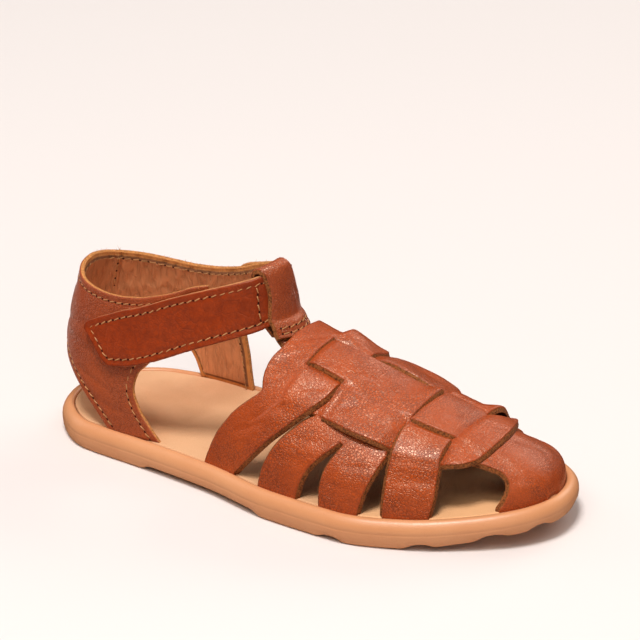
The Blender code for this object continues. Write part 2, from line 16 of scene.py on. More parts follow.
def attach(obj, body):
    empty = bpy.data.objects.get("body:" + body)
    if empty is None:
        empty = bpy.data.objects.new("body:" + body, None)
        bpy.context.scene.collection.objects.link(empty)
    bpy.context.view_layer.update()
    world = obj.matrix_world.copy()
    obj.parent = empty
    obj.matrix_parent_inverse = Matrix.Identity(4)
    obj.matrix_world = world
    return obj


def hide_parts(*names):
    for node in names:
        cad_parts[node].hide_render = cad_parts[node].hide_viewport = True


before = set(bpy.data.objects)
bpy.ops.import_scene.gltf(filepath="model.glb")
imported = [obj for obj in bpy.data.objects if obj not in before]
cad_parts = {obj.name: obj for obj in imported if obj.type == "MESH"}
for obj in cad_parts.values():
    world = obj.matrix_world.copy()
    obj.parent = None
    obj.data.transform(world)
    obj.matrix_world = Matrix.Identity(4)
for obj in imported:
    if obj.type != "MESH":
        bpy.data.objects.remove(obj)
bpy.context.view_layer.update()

bl_info = {
    "name": "Woven Sandal",
    "version": (1, 0, 0),
    "blender": (4, 5, 0),
    "location": "View3D > Sidebar > Sandal",
    "description": "Builds the leather, stitching, insole and sole of a child's woven sandal",
    "category": "Object",
}

MM = 0.001
GAP = 0.3  # clearance between two pieces

# Sole
SOLE_LENGTH = 200.0
RIM_HEIGHT = 9.9
TOE_SPRING = 5.0
SPRING_START = 0.72  # share of the length where the toe begins to rise
LIP_INSET = 4.4
INSOLE_INSET = 4.7
INSOLE_UNDER = 7.7
INSOLE_TOP = 9.6
SOLE_FLOOR = 7.3
LUG_DEPTH = 1.9
ARCH_RISE = 2.3
TOE_THIN = 1.7  # how much higher the underside lies at the toe
SOLE_POINTS = 220  # plan points along each side
SOLE_ACROSS = 56

# Forefoot form
WEAVE_TURN = 0.06  # how far the weave's middle lies outside the ridge, as a share of a section
STRAP_INSET = 6.2  # from the sole's edge to the inside of a strap's foot
TOE_TIP = 193.6
TOE_SKIRT = 1.8  # how far the toe cap's front goes down behind the rim
LAST_SECTION = 191.8  # past it the form keeps this section's directions
FOREFOOT_START = 60.0
FOOT_RUN = 60.0  # a strap's foot goes this far down for one whole turn past the rim
FOOT_TURN = 1.02

# Heel and ankle
ANKLE_MIDDLE = 40.0
ANKLE_POWER = 2.25
QUARTER_WALL = 2.3
STRAP_WALL = 2.0
BAR_WALL = 1.9
CLOSING_OFFSET = QUARTER_WALL + GAP
LAYER_GAP = 0.12  # between two layers of the weave
BAR_SLACK = 0.5  # room in the bar's loop, before the closing strap

# Leather sheets
UNEVEN = 0.18  # how far leather waves up and down
WAVE_SIZES = (9.0, 3.6)  # broad and fine waves
FINE_WAVES = 0.35  # height of the fine waves, as a share of the broad ones'
RELIEF_RUN = 1.2  # waves and creases fade over this distance to an edge
INSIDE_RELIEF = 0.5  # share of the grain side's relief that shows inside
INSIDE_ROUND = 0.4  # share of the grain side's edge rounding that the inside gets
CUT_LEVELS = (0.3, 0.68)  # lines along a cut edge, as shares of the way down
CUT_BULGE = 0.1
CUT_FUZZ, FUZZ_SIZE = 0.13, 0.9  # unevenness of a cut edge
CUT_BEVEL = 1.0  # how far the inside of a woven strap stands out past its grain side
BAR_BEVEL = 0.4
SHARP_ANGLE, THREAD_SHARP_ANGLE = 48.0, 80.0  # edges bent more than this look sharp

# Sewing and fibres
SEAM_DEPTH = 0.24  # how far a row of stitches pulls the leather down
SEAM_WIDTH = 0.8
LINING_INSET = 1.9  # from the collar's edge to the lining's
LINING_STEP, LINING_STEP_RUN = 0.5, 0.25  # height and half width of the step there
STITCH_RINGS = (  # place along a stitch, rise and width, as shares of its length and of the thread
    (-0.5, -1.3, 0.7),
    (-0.42, 0.0, 0.95),
    (-0.2, 0.45, 1.0),
    (0.2, 0.45, 1.0),
    (0.42, 0.0, 0.95),
    (0.5, -1.3, 0.7),
)
STITCH_SHARE = 0.74  # length of a stitch, as a share of the pitch
STITCH_LEAN, LEAN_CHANGE = 0.16, 0.05  # how far it slants, as a share of the pitch
THREAD_SIDES = 7
THREAD_FLAT = 0.8  # height of the thread as a share of its width
HOLE_STRETCH = 1.3
HOLE_RADIUS = 0.36
HOLE_RISE = 0.09  # a needle hole's dark disc stands this far off the leather
FIBRE_STEP = 0.15
FIBRE_LENGTH = 2.4
FIBRE_WIDTH = 0.2
CAP_FIBRE_LENGTH = 1.7
FIBRE_SPREAD = 0.9  # roots lie this far up and down from the middle of the edge
FIBRE_LEAN = 0.6

OUTLINE = dict(  # plan of the sole: half widths each side of the x axis
    share=(0.0, 0.04, 0.12, 0.25, 0.40, 0.55, 0.68, 0.80, 0.90, 0.96, 1.0),
    outer=(0.0, 21.0, 30.8, 33.0, 36.4, 42.6, 43.6, 36.8, 25.0, 14.6, -3.6),
    inner=(0.0, 20.4, 29.6, 32.8, 32.0, 34.8, 40.0, 40.2, 35.0, 26.0, 3.6),
)
CENTRE = np.array([SOLE_LENGTH / 2, (max(OUTLINE["inner"]) - max(OUTLINE["outer"])) / 2, 0.0])

SOLE_WALL = (  # inset from the outline, height, share of a groove's depth that reaches this line
    (1.7, 0.0, 0.7),
    (1.15, 0.25, 0.68),
    (0.8, 0.7, 0.6),
    (0.5, 1.4, 0.46),
    (0.25, 2.3, 0.28),
    (0.1, 3.4, 0.1),
    (0.0, 4.6, 0.0),
    (0.0, 5.2, 0.0),
    (0.05, 5.32, 0.0),
    (0.0, 5.44, 0.0),
    (0.1, 6.5, 0.0),
    (0.4, 7.5, 0.0),
    (0.85, 8.35, 0.0),
    (1.4, 9.05, 0.0),
    (2.0, 9.55, 0.0),
    (2.6, 9.82, 0.0),
    (3.2, 9.9, 0.0),
    (3.8, 9.8, 0.0),
    (4.15, 9.5, 0.0),
    (LIP_INSET, 9.0, 0.0),
    (LIP_INSET + 0.1, SOLE_FLOOR, 0.0),
)

GROOVES = (  # middle x, middle y, turn in degrees, half length, half width, depth
    (78.0, 0.0, 0.0, 60.0, 25.0, ARCH_RISE),
    (137.0, 0.0, -2.0, 60.0, 2.6, LUG_DEPTH),
    (163.0, 0.0, 3.0, 60.0, 2.2, LUG_DEPTH),
    (182.5, 4.0, 6.0, 50.0, 2.2, LUG_DEPTH),
    (198.5, -8.0, 62.0, 9.0, 2.2, LUG_DEPTH),
    (198.5, 15.0, -62.0, 9.0, 2.2, LUG_DEPTH),
)
GROOVE_FLARE = 3.4  # run of a groove's sloping side
TREAD_PITCH = 4.6
TREAD_DEPTH = 0.5

PROFILE = dict(  # ridge of the forefoot form
    x=(60.0, 80.0, 97.0, 112.0, 123.0, 133.0, 159.0, 176.0, 186.0, 191.0, 193.0, 193.6),
    height=(63.0, 56.5, 51.4, 48.6, 45.4, 41.4, 33.3, 28.4, 24.6, 20.8, 17.4, 14.6),
)
INNER_DROP = dict(  # how far the inner side falls below an even section
    x=(60.0, 100.0, 118.0, 135.0, 150.0, 162.0, 172.0, 182.0, 190.0, 195.6),
    depth=(0.0, 0.0, 1.7, 3.2, 3.9, 4.4, 4.6, 2.2, 0.5, 0.0),
)
MOST_DROP = 0.38  # no more than this share of the section's height
SECTION = dict(  # where the ridge lies, and how square the section is
    x=(60.0, 100.0, 140.0, 170.0, 195.6),
    ridge=(-1.0, -2.0, -1.0, 1.5, 3.0),
    power=(2.0, 2.05, 2.1, 2.25, 2.6),
)

STRAPS = dict(  # edges of the straps at each turn w, from the middle (0) to the sole (1)
    w=(0.0, 0.19, 0.30, 0.45, 0.52, 0.60, 0.70, 0.80, 0.90, 1.0),
    saddle_front=(123.0, 123.0, 122.5, 118.5, 115.5, 112.0, 107.0, 102.3, 97.3, 92.0),
    rear_leg_back=(127.0, 127.0, 126.0, 121.0, 117.6, 114.6, 110.6, 107.4, 105.0, 103.5),
    rear_leg_front=(135.0, 135.0, 135.0, 134.0, 132.8, 130.5, 126.8, 123.4, 121.0, 119.5),
    front_leg_back=(136.2, 136.2, 136.2, 135.4, 134.2, 132.8, 131.0, 129.6, 129.0, 129.0),
    front_leg_front=(146.0, 146.0, 146.0, 147.6, 148.2, 147.3, 146.2, 145.0, 144.0, 143.0),
    toe_strap_rear=(149.0, 149.0, 149.0, 149.5, 150.0, 150.3, 150.7, 151.0, 151.0, 151.0),
    toe_strap_front=(164.0, 164.0, 164.0, 164.3, 165.0, 165.4, 165.8, 166.0, 165.7, 165.0),
)
SADDLE_EDGE = dict(  # rear edge of the saddle strap
    w=(0.0, 0.10, 0.19, 0.24, 0.295, 0.345, 0.39, 0.43,
       0.455, 0.49, 0.535, 0.60, 0.675, 0.75, 0.825, 1.0),
    x=(98.6, 98.6, 98.3, 97.7, 97.3, 97.2, 97.6, 98.3,
       98.7, 97.7, 95.5, 92.2, 88.6, 85.6, 82.6, 77.6),
)
CAP_EDGE = dict(  # rear edge of the toe cap, under the panel and round the side opening
    w=(0.0, 0.335, 0.350, 0.362, 0.380, 0.41, 0.445,
       0.50, 0.56, 0.63, 0.70, 0.82, 0.93, 1.0),
    x=(170.0, 170.0, 175.0, 178.6, 181.2, 182.7, 183.7,
       184.6, 185.2, 185.5, 185.6, 185.3, 184.6, 183.7),
)
CAP_INNER_EDGE = dict(  # and on its inner side
    w=(0.0, 0.40, 0.55, 0.70, 0.85, 1.0),
    x=(170.0, 170.0, 170.8, 172.2, 173.8, 174.5),
)
PANEL_EDGE = dict(  # front edge of the woven panel
    w=(0.0, 0.12, 0.20, 0.27, 0.33, 0.37, 0.40, 0.42, 0.44, 0.455),
    x=(176.4, 176.2, 175.9, 175.4, 174.6, 173.6, 172.4, 171.2, 169.4, 166.4),
)
PANEL_INNER_EDGE = dict(  # and on the inner side
    w=(0.0, 0.12, 0.20, 0.27, 0.33, 0.37, 0.40, 0.44, 0.455),
    x=(176.4, 175.6, 174.5, 173.0, 171.4, 170.2, 169.2, 167.4, 166.4),
)
INNER_CUT = dict(  # inner edge of the panel's middle strip
    x=(99.0, 112.0, 115.0, 125.0, 132.0, 138.0, 144.0, 149.0, 152.0, 176.0),
    w=(0.07, 0.066, 0.068, 0.093, 0.138, 0.150, 0.143, 0.135, 0.181, 0.181),
)
LANE_SPREAD = 0.066  # how much wider the panel is in front of the toe strap, as a share
SLIT_OUTER, SLIT_INNER = -0.20, 0.085  # w where the slit of the saddle strap ends
SLIT_SHARES = (0.455, 0.49)  # edges of that slit, across the strap
MIDDLE_EDGES = (0.181, 0.197)  # w of the cut between the middle strip and a lane
LANE_EDGE = 0.455  # w of a lane's outer edge
TONGUE_EDGE = 0.185
TONGUE_START = 145.0
LEG_SPLIT = 0.54  # w where the two legs of a side strap part
SIDE_TOP = 0.36
PANEL_STOPS = (99.0, 112.5, 123.5, 149.0, 164.2)  # x of its ends, cuts and window, from the rear
TURN_SCALE = 58.0  # millimetres that one unit of w covers on the weave
TOE_STRAP_SCALE, CAP_SCALE = 50.0, 44.0  # and further forward
LEG_ROWS = 34  # mesh lines down a leg of the quarter

ANKLE = dict(  # heel and ankle form: inside surface
    z=(10.0, 22.0, 34.0, 46.0, 60.0, 78.0),
    rear=(5.8, 4.2, 3.6, 5.4, 9.0, 11.4),
    half_width=(26.6, 26.2, 24.8, 22.6, 20.0, 18.0),
    front=(98.0, 98.0, 94.0, 90.0, 86.0, 84.0),
)

QUARTER_BAND = {  # heel quarter round the ankle: angle from the rear, lower and upper edge
    "outer": dict(
        turn=(0.0, 14.0, 25.0, 40.0, 55.0, 70.0, 84.0, 92.0, 99.0, 105.0, 112.0, 120.0, 128.0),
        lower=(31.6, 31.3, 30.5, 32.0, 33.6, 35.1, 36.5, 37.3, 38.0, 40.3, 43.0, 46.0, 48.4),
        upper=(61.0, 60.4, 59.6, 58.5, 58.0, 57.8, 58.2, 59.2, 61.0, 62.6, 64.8, 67.2, 68.4),
    ),
    "inner": dict(
        turn=(0.0, 14.0, 25.0, 40.0, 55.0, 70.0, 84.0, 94.0, 101.5, 111.0, 122.5, 139.0, 157.0),
        lower=(31.6, 31.3, 30.5, 32.0, 33.6, 35.1, 36.8, 38.2, 39.6, 42.4, 46.2, 50.8, 54.4),
        upper=(61.0, 60.1, 59.1, 57.9, 56.8, 55.8, 55.4, 56.4, 57.9, 60.3, 63.9, 67.6, 69.4),
    ),
}
QUARTER_LEG = {  # leg from the band down to the sole, a row per section
    "outer": dict(
        share=(0.0, 0.2, 0.4, 0.6, 0.8, 1.0),
        rear_turn=(25.0, 38.0, 51.0, 63.0, 73.0, 82.0),
        rear_z=(30.5, 27.8, 24.2, 19.8, 15.0, 9.4),
        front_turn=(99.0, 94.2, 93.0, 95.0, 98.5, 103.0),
        front_z=(38.0, 32.5, 27.0, 20.5, 15.0, 9.4),
    ),
    "inner": dict(
        share=(0.0, 0.2, 0.4, 0.6, 0.8, 1.0),
        rear_turn=(25.0, 46.0, 63.0, 74.0, 80.0, 83.5),
        rear_z=(30.5, 28.8, 26.0, 22.0, 16.5, 9.4),
        front_turn=(107.0, 104.0, 103.8, 104.2, 104.8, 105.6),
        front_z=(41.2, 34.0, 27.5, 21.0, 15.0, 9.4),
    ),
}

CLOSING = dict(  # closing strap: angle from the front, inner side positive; lower and upper edge
    turn=(-116.0, -115.0, -112.5, -108.5, -104.5, -100.0, -96.0, -91.0, -82.0,
          -73.0, -63.0, -50.0, -35.0, -22.0, -15.0, -7.5, 0.0, 7.5,
          15.0, 22.0, 32.0, 45.0, 60.0, 69.0, 72.5, 74.0),
    lower=(43.9, 43.3, 42.3, 40.2, 37.8, 35.0, 34.0, 34.7, 37.6,
           41.2, 44.9, 48.5, 51.3, 53.0, 54.0, 54.6, 54.8, 54.8,
           54.3, 53.5, 52.0, 49.4, 46.0, 44.1, 45.0, 47.0),
    upper=(45.0, 46.0, 47.2, 48.6, 50.0, 51.4, 52.7, 54.4, 58.0,
           61.6, 64.7, 67.8, 70.4, 72.0, 72.8, 73.4, 73.6, 73.0,
           71.6, 70.2, 68.6, 66.4, 63.0, 60.6, 58.8, 56.5),
)

BAR_HEIGHTS = (57.0, 62.0, 67.0, 71.5)
# Middle of the bar's leather before and behind the closing strap, from the ankle form
BAR_FRONT = CLOSING_OFFSET + STRAP_WALL + GAP + BAR_WALL / 2 + BAR_SLACK
BAR_BACK = CLOSING_OFFSET - GAP - BAR_WALL / 2
BAR_TOP = 76.4
FOLD_DROP, FOLD_RUN = 0.9, 0.8  # how the fold at the top begins
BAR_FOOT = ((97.2, 51.2), (96.0, 52.9), (95.0, 54.8))  # x, z of its front end, sewn on the tail
BAR_TAIL = ((110.0, 43.8), (104.0, 45.3), (99.9, 46.8), (97.2, 48.5), (95.3, 50.6), (94.2, 52.6))
BAR_END = (92.4, 50.8)
BAR_LEVEL = 62.0  # height at which the bar takes the bend of the ankle form
BAR_LEAN = (60.0, 74.0)  # heights between which it comes to lean with the closing strap
BAR_SEAM_REACH = 0.84  # share of the half width that a row of stitches covers
BAR_SEAMS = (1.7, 3.8)  # stitch rows, from the front end
BAR_TURN = dict(  # middle and half width of the bar in degrees, over the share of its length
    share=(0.0, 0.10, 0.2, 0.32, 0.42, 0.50, 0.60, 1.0),
    middle=(-0.5, -0.8, -1.0, -4.4, -8.4, -11.6, -11.6, -5.0),
    half=(25.0, 23.0, 20.8, 16.0, 14.0, 13.0, 13.0, 15.0),
)
TAIL_TURN = dict(
    share=(0.0, 0.45, 0.75, 1.0),
    middle=(4.0, 5.0, 3.0, 1.0),
    half=(34.0, 26.0, 24.5, 23.0),
)
BAR_CREASES = (  # on the bar: place along and across of one end, of the other, depth and width
    (6.5, -0.62, 15.0, -0.52, 0.3, 0.5),
    (7.5, -0.25, 17.0, -0.18, 0.32, 0.5),
    (6.5, 0.1, 13.0, 0.16, 0.3, 0.5),
    (8.0, 0.42, 18.0, 0.5, 0.32, 0.5),
    (6.0, 0.66, 12.0, 0.72, 0.26, 0.5),
)

FLOOR_REACH = 4.0  # metres, as all of the stage
CAMERA_TURN, CAMERA_TILT = 33.0, 23.2  # degrees from the front and up
CAMERA_DISTANCE = 1.15
CAMERA_TARGET = (0.0042, 0.0017, 0.0577)
CAMERA_LENS, CAMERA_SENSOR = 188.72, 36.0
CAMERA_END = 20.0
SKY_COLOUR = (1.0, 0.985, 0.97, 1.0)
WORLD_LIGHT = 0.38
DOME_EDGE = (0.3, 0.72)  # sines of the heights where the sky's light begins and is full
LIGHTS = (  # name, place in metres, width, height, power, colour
    ("key", (0.19, -0.66, 2.2), 0.7, 0.7, 43.5, (1.0, 0.97, 0.94)),
    ("front", (0.14, -1.41, 1.68), 1.5, 0.55, 8.0, (1.0, 0.9, 0.75)),
    ("back", (0.3, 1.7, 1.1), 1.6, 0.9, 11.0, (1.0, 0.93, 0.84)),
    ("left", (-1.8, -0.25, 0.95), 1.2, 1.2, 5.0, (1.0, 0.93, 0.88)),
    ("toe", (1.6, -1.24, 0.82), 0.8, 0.8, 3.0, (1.0, 0.93, 0.86)),
)
LIGHT_AIM = (0.0, 0.0, 0.03)

GRAINS = {  # grain sides: dye and dark dye, pebbles and clouds per metre, depth of the grain
    "woven_grain": dict(
        light="upper", dark="upper_dark", pebbles=1050.0, clouds=55.0, depth=0.1,
        creases=0.7, rough=0.325, mottle=0.22, lines=0.8, finish={},
    ),
    "cap_grain": dict(
        light="upper", dark="upper_dark", pebbles=1300.0, clouds=55.0, depth=0.08,
        creases=0.5, rough=0.34, mottle=0.25, lines=0.8, finish={},
    ),
    "quarter_grain": dict(
        light="quarter", dark="upper_dark", pebbles=1100.0, clouds=55.0, depth=0.1,
        creases=0.4, rough=0.36, mottle=0.35, lines=0.6,
        finish={
            "Sheen Weight": 0.35,
            "Sheen Roughness": 0.25,
            "Sheen Tint": (1.0, 0.78, 0.7, 1.0),
        },
    ),
    "strap_grain": dict(
        light="strap", dark="strap_dark", pebbles=620.0, clouds=90.0, depth=0.05,
        creases=1.0, rough=0.34, mottle=1.0, lines=0.25,
        finish={"Specular IOR Level": 0.5, "Coat Weight": 0.05},
    ),
}
GRAIN_FINISH = {
    "Specular IOR Level": 0.85,
    "Specular Tint": (1.0, 0.86, 0.64, 1.0),
    "Coat Weight": 0.16,
    "Coat Roughness": 0.33,
}
DYE_SHARE = 0.35  # how far the broad clouds of a grain side go to the dark dye
BLOTCHES = 430.0  # per metre
# painted shade in the valleys between pebbles, standing in for shading of the grain's relief
VALLEY_SHADE_TONE = 0.6  # brightness of the lines between pebbles, as a share of the dark dye's
# shares of dark dye for flecks and worn edges; the seam share is painted shade in the groove along
# stitch rows
FLECK_SHARE, WEAR_SHARE, SEAM_SHADE_SHARE = 0.24, 0.4, 0.3
VALLEY_ROUGHNESS = 0.15  # how much rougher the valleys are
RAW_SIDES = {  # colour, share and tone of dark clouds, clouds and fibres per metre, depth
    "cut_edge": ("cut_edge", 1.0, 0.3, 1700.0, 1800.0, 0.2),
    "strap_edge": ("strap_edge", 0.35, 0.45, 420.0, 1400.0, 0.16),
    "collar_edge": ("collar_edge", 0.7, 0.4, 1200.0, 1800.0, 0.2),
    "lining": ("lining", 0.3, 0.6, 160.0, 900.0, 0.3),
    # painted shade of the needle holes
    "needle_hole": ("needle_hole", 0.5, 0.45, 420.0, 1400.0, 0.16),
    "flesh_side": ("flesh", 0.4, 0.45, 420.0, 1400.0, 0.08),
}

CREASES = {  # main creases: x and turn of one end, x and turn of the other, depth, width
    "saddle_strap": (
        (98.0, -0.64, 109.0, -0.50, 0.42, 1.4),
        (93.0, -0.74, 103.0, -0.63, 0.32, 1.3),
        (112.0, -0.37, 120.0, -0.29, 0.36, 1.0),
        (101.0, -0.10, 107.5, 0.05, 0.28, 1.1),
        (98.5, -0.31, 105.0, -0.21, 0.4, 0.9),
        (97.5, -0.38, 106.0, -0.29, 0.32, 0.8),
        (100.0, -0.25, 106.5, -0.15, 0.3, 0.8),
        (110.5, 0.05, 117.0, 0.13, 0.36, 0.8),
        (113.5, 0.05, 120.0, 0.12, 0.34, 0.8),
        (111.0, 0.12, 116.0, 0.19, 0.3, 0.8),
        (97.0, 0.62, 108.0, 0.50, 0.34, 1.5),
        (92.0, 0.76, 102.0, 0.66, 0.26, 1.3),
    ),
    "woven_panel": (
        (123.0, -0.192, 149.0, -0.188, 0.42, 1.2),
        (124.0, -0.245, 149.0, -0.235, -0.15, 2.2),
        (122.0, -0.13, 130.0, -0.03, 0.3, 0.7),
        (125.0, -0.12, 133.0, -0.02, 0.34, 0.7),
        (128.5, -0.15, 136.0, -0.04, 0.3, 0.7),
        (132.0, -0.16, 140.0, -0.05, 0.34, 0.7),
        (138.0, -0.13, 146.0, -0.02, 0.28, 0.8),
        (115.0, -0.14, 122.0, -0.06, 0.26, 0.8),
        (128.0, -0.36, 134.0, -0.24, 0.32, 1.0),
        (140.0, -0.38, 146.0, -0.26, 0.25, 1.0),
        (167.0, -0.20, 174.0, -0.32, 0.28, 1.3),
        (166.0, 0.04, 174.5, 0.10, 0.25, 1.4),
        (129.0, 0.36, 135.0, 0.26, 0.28, 1.1),
    ),
    "side_strap_outer": (
        (117.0, -0.64, 128.0, -0.59, 0.32, 1.3),
        (110.0, -0.79, 121.0, -0.75, 0.26, 1.3),
        (137.0, -0.67, 146.0, -0.63, 0.28, 1.2),
        (133.0, -0.82, 143.0, -0.84, 0.2, 1.2),
    ),
    "side_strap_inner": (
        (117.0, 0.64, 128.0, 0.59, 0.32, 1.3),
        (137.0, 0.67, 146.0, 0.63, 0.28, 1.2),
    ),
    "toe_strap": (
        (151.0, -0.53, 163.5, -0.50, 0.32, 1.3),
        (153.0, -0.70, 164.0, -0.66, 0.24, 1.2),
        (152.0, 0.52, 164.0, 0.50, 0.32, 1.3),
        (151.5, 0.24, 158.0, 0.31, 0.34, 0.8),
        (154.5, 0.21, 161.0, 0.29, 0.34, 0.8),
        (157.5, 0.20, 163.0, 0.27, 0.3, 0.8),
    ),
    "toe_cap": (
        (152.0, -0.06, 162.0, 0.02, 0.26, 1.3),
        (179.0, -0.20, 187.0, -0.42, 0.25, 1.7),
        (178.0, 0.10, 187.0, 0.25, 0.3, 1.9),
        (185.0, -0.56, 190.0, -0.40, 0.2, 1.2),
        (180.0, 0.45, 188.0, 0.55, 0.25, 1.6),
    ),
}
QUARTER_CREASES = (  # the same on the heel quarter: angle from the rear and height
    (-20.0, 40.0, -58.0, 44.5, 0.36, 1.5),
    (-34.0, 36.5, -72.0, 36.0, 0.3, 1.4),
    (-58.0, 28.0, -84.0, 24.0, 0.3, 1.3),
    (-70.0, 20.0, -90.0, 17.5, 0.26, 1.2),
    (8.0, 43.0, -14.0, 41.0, 0.28, 1.6),
    (22.0, 42.0, 60.0, 45.0, 0.34, 1.5),
    (60.0, 27.0, 88.0, 24.0, 0.28, 1.3),
    (-4.0, 52.0, -30.0, 54.0, 0.24, 1.4),
)
LINING_CREASES = (  # and on its lining
    (12.0, 44.0, 20.0, 57.0, 0.3, 0.9),
    (38.0, 46.0, 45.0, 57.0, 0.36, 0.8),
    (47.0, 44.0, 55.0, 56.0, 0.3, 0.7),
    (57.0, 45.0, 67.0, 56.5, 0.46, 0.9),
    (66.0, 43.0, 74.0, 55.5, 0.3, 0.7),
    (75.0, 46.0, 85.0, 55.5, 0.42, 0.9),
    (86.0, 45.0, 95.0, 56.0, 0.36, 0.8),
    (97.0, 46.0, 105.0, 58.0, 0.42, 0.8),
    (108.0, 47.0, 115.0, 60.0, 0.36, 0.8),
    (60.0, 36.0, 75.0, 43.0, 0.36, 1.1),
    (88.0, 32.0, 98.0, 44.0, 0.32, 1.0),
    (-40.0, 44.0, -52.0, 56.0, 0.36, 0.9),
    (-66.0, 44.0, -80.0, 56.0, 0.36, 0.9),
)
LINING_SEAM = ((29.0, 32.0), (30.0, 45.0), (31.0, 59.4))
LINING_SEAM_DEPTH, LINING_SEAM_WIDTH = 0.55, 0.5
LINING_ROW = 3.6  # degrees from that seam to its stitches
LINING_STITCH = 0.05  # height of stitches on the lining
SEAM_END = 2.0  # degrees from the end of the quarter to the end of its stitches


def linear(red, green, blue):
    """A colour read from a screen, as the light it stands for."""
    shares = (red / 255, green / 255, blue / 255)
    return tuple(c / 12.92 if c <= 0.04045 else ((c + 0.055) / 1.055) ** 2.4 for c in shares)


def length(name, text, value):
    """A size property, given in millimetres and kept in metres."""
    return FloatProperty(
        name=name, description=text, default=value * MM, min=0.0, precision=5, unit="LENGTH"
    )


def colour(name, text, *value):
    """A colour property, given as it reads on a screen."""
    tone = linear(*value)
    return FloatVectorProperty(
        name=name, description=text, default=tone, size=3, min=0.0, max=1.0, subtype="COLOR"
    )


class SandalSizes(bpy.types.PropertyGroup):
    """Sizes of the leather and the sewing."""

    upper_leather: length("Upper leather", "Thickness of the woven straps", 2.0)
    quarter_leather: length("Quarter leather", "Thickness of the lined heel quarter", QUARTER_WALL)
    strap_leather: length("Strap leather", "Thickness of the closing strap", STRAP_WALL)
    edge_round: length("Edge rounding", "Radius of the grain side's edges", 0.42)
    stitch_pitch: length("Stitch pitch", "Distance from one stitch to the next", 3.1)
    thread: length("Thread", "Thickness of the sewing thread", 0.44)
    stitch_inset: length("Stitch inset", "Distance of a stitch row from the edge", 2.4)
    mesh_step: length("Mesh step", "Distance between the lines of a leather mesh", 0.85)


class SandalColours(bpy.types.PropertyGroup):
    """Colours of the sandal and the floor."""

    upper: colour("Upper leather", "Grain side of the woven straps", 194, 80, 22)
    upper_dark: colour("Upper leather, dark", "Its dark clouds and valleys", 150, 54, 14)
    quarter: colour("Quarter leather", "Grain side of the heel quarter", 180, 80, 36)
    strap: colour("Strap leather", "Grain side of the closing strap", 163, 57, 12)
    strap_dark: colour("Strap leather, dark", "Dark clouds of that leather", 122, 38, 8)
    cut_edge: colour("Cut edge", "Raw edges of the leather", 158, 92, 48)
    strap_edge: colour("Strap edge", "Raw edge of the closing strap", 196, 132, 84)
    collar_edge: colour("Collar edge", "Edge of the quarter with its lining", 212, 142, 82)
    lining: colour("Lining", "Inside of the quarter", 216, 144, 98)
    flesh: colour("Flesh side", "Inside of the woven straps", 96, 54, 30)
    thread: colour("Thread", "Sewing thread", 206, 146, 90)
    # painted shade: colour of the dark discs put at the needle holes
    needle_hole: colour("Needle holes", "Dark holes between the stitches", 58, 24, 10)
    insole: colour("Insole", "Leather of the insole", 226, 176, 134)
    rubber: colour("Rubber", "Gum rubber of the sole", 220, 154, 107)
    floor: colour("Floor", "Studio floor", 229, 223, 222)


def curve(table_x, table_y):
    """A smooth curve through the rows of a table that doesn't overshoot them."""
    xs = np.array(table_x, float)
    ys = np.array(table_y, float)
    run = np.diff(xs)
    slope = np.diff(ys) / run
    same = slope[:-1] * slope[1:] > 0
    first = 2 * run[1:] + run[:-1]
    second = run[1:] + 2 * run[:-1]
    with np.errstate(divide="ignore", invalid="ignore"):
        inside = (first + second) / (first / slope[:-1] + second / slope[1:])
    tangent = np.concatenate([slope[:1], np.where(same, inside, 0.0), slope[-1:]])

    def value(x):
        x = np.clip(np.asarray(x, float), xs[0], xs[-1])
        k = np.clip(np.searchsorted(xs, x, side="right") - 1, 0, len(run) - 1)
        t = (x - xs[k]) / run[k]
        rise = ys[k + 1] - ys[k]
        lead = (1 - t) * (tangent[k] * run[k] - rise)
        trail = t * (tangent[k + 1] * run[k] - rise)
        return ys[k] + rise * t + t * (1 - t) * (lead - trail)

    return value


def end_share(share):
    """Spreads a share of the length out near both ends, where the outline turns round."""
    return np.arccos(np.clip(1 - 2 * np.asarray(share, float), -1, 1)) / math.pi


def ease(value, start, end):
    """0 at start, 1 at end, and smooth between them."""
    t = np.clip((np.asarray(value, float) - start) / (end - start), 0, 1)
    return t * t * (3 - 2 * t)


def hump(value, middle, half):
    """1 at the middle, falling smoothly to 0 at half a width each side."""
    return 1 - ease(np.abs(np.asarray(value, float) - middle), 0, half)


OUTER_SIDE = curve(end_share(OUTLINE["share"]), OUTLINE["outer"])
INNER_SIDE = curve(end_share(OUTLINE["share"]), OUTLINE["inner"])
RIDGE_HEIGHT = curve(PROFILE["x"], PROFILE["height"])
RIDGE = curve(SECTION["x"], SECTION["ridge"])
POWER = curve(SECTION["x"], SECTION["power"])
DROP = curve(INNER_DROP["x"], INNER_DROP["depth"])
SADDLE_REAR = curve(SADDLE_EDGE["w"], SADDLE_EDGE["x"])
CAP_REAR = curve(CAP_EDGE["w"], CAP_EDGE["x"])
CAP_INNER_REAR = curve(CAP_INNER_EDGE["w"], CAP_INNER_EDGE["x"])
MIDDLE_CUT = curve(INNER_CUT["x"], INNER_CUT["w"])
PANEL_FRONT = curve(PANEL_EDGE["w"], PANEL_EDGE["x"])
PANEL_INNER_FRONT = curve(PANEL_INNER_EDGE["w"], PANEL_INNER_EDGE["x"])
EDGES = {name: curve(STRAPS["w"], row) for name, row in STRAPS.items() if name != "w"}
ANKLE_FORM = {name: curve(ANKLE["z"], row) for name, row in ANKLE.items() if name != "z"}
CLOSING_LOWER = curve(CLOSING["turn"], CLOSING["lower"])
CLOSING_UPPER = curve(CLOSING["turn"], CLOSING["upper"])


def unit(vectors):
    """The vectors at length 1."""
    return vectors / np.maximum(np.linalg.norm(vectors, axis=-1, keepdims=True), 1e-9)


def spring(x):
    """Rise of the sole towards the toe."""
    share = np.clip((np.asarray(x) / SOLE_LENGTH - SPRING_START) / (1 - SPRING_START), 0, None)
    return TOE_SPRING * share**2


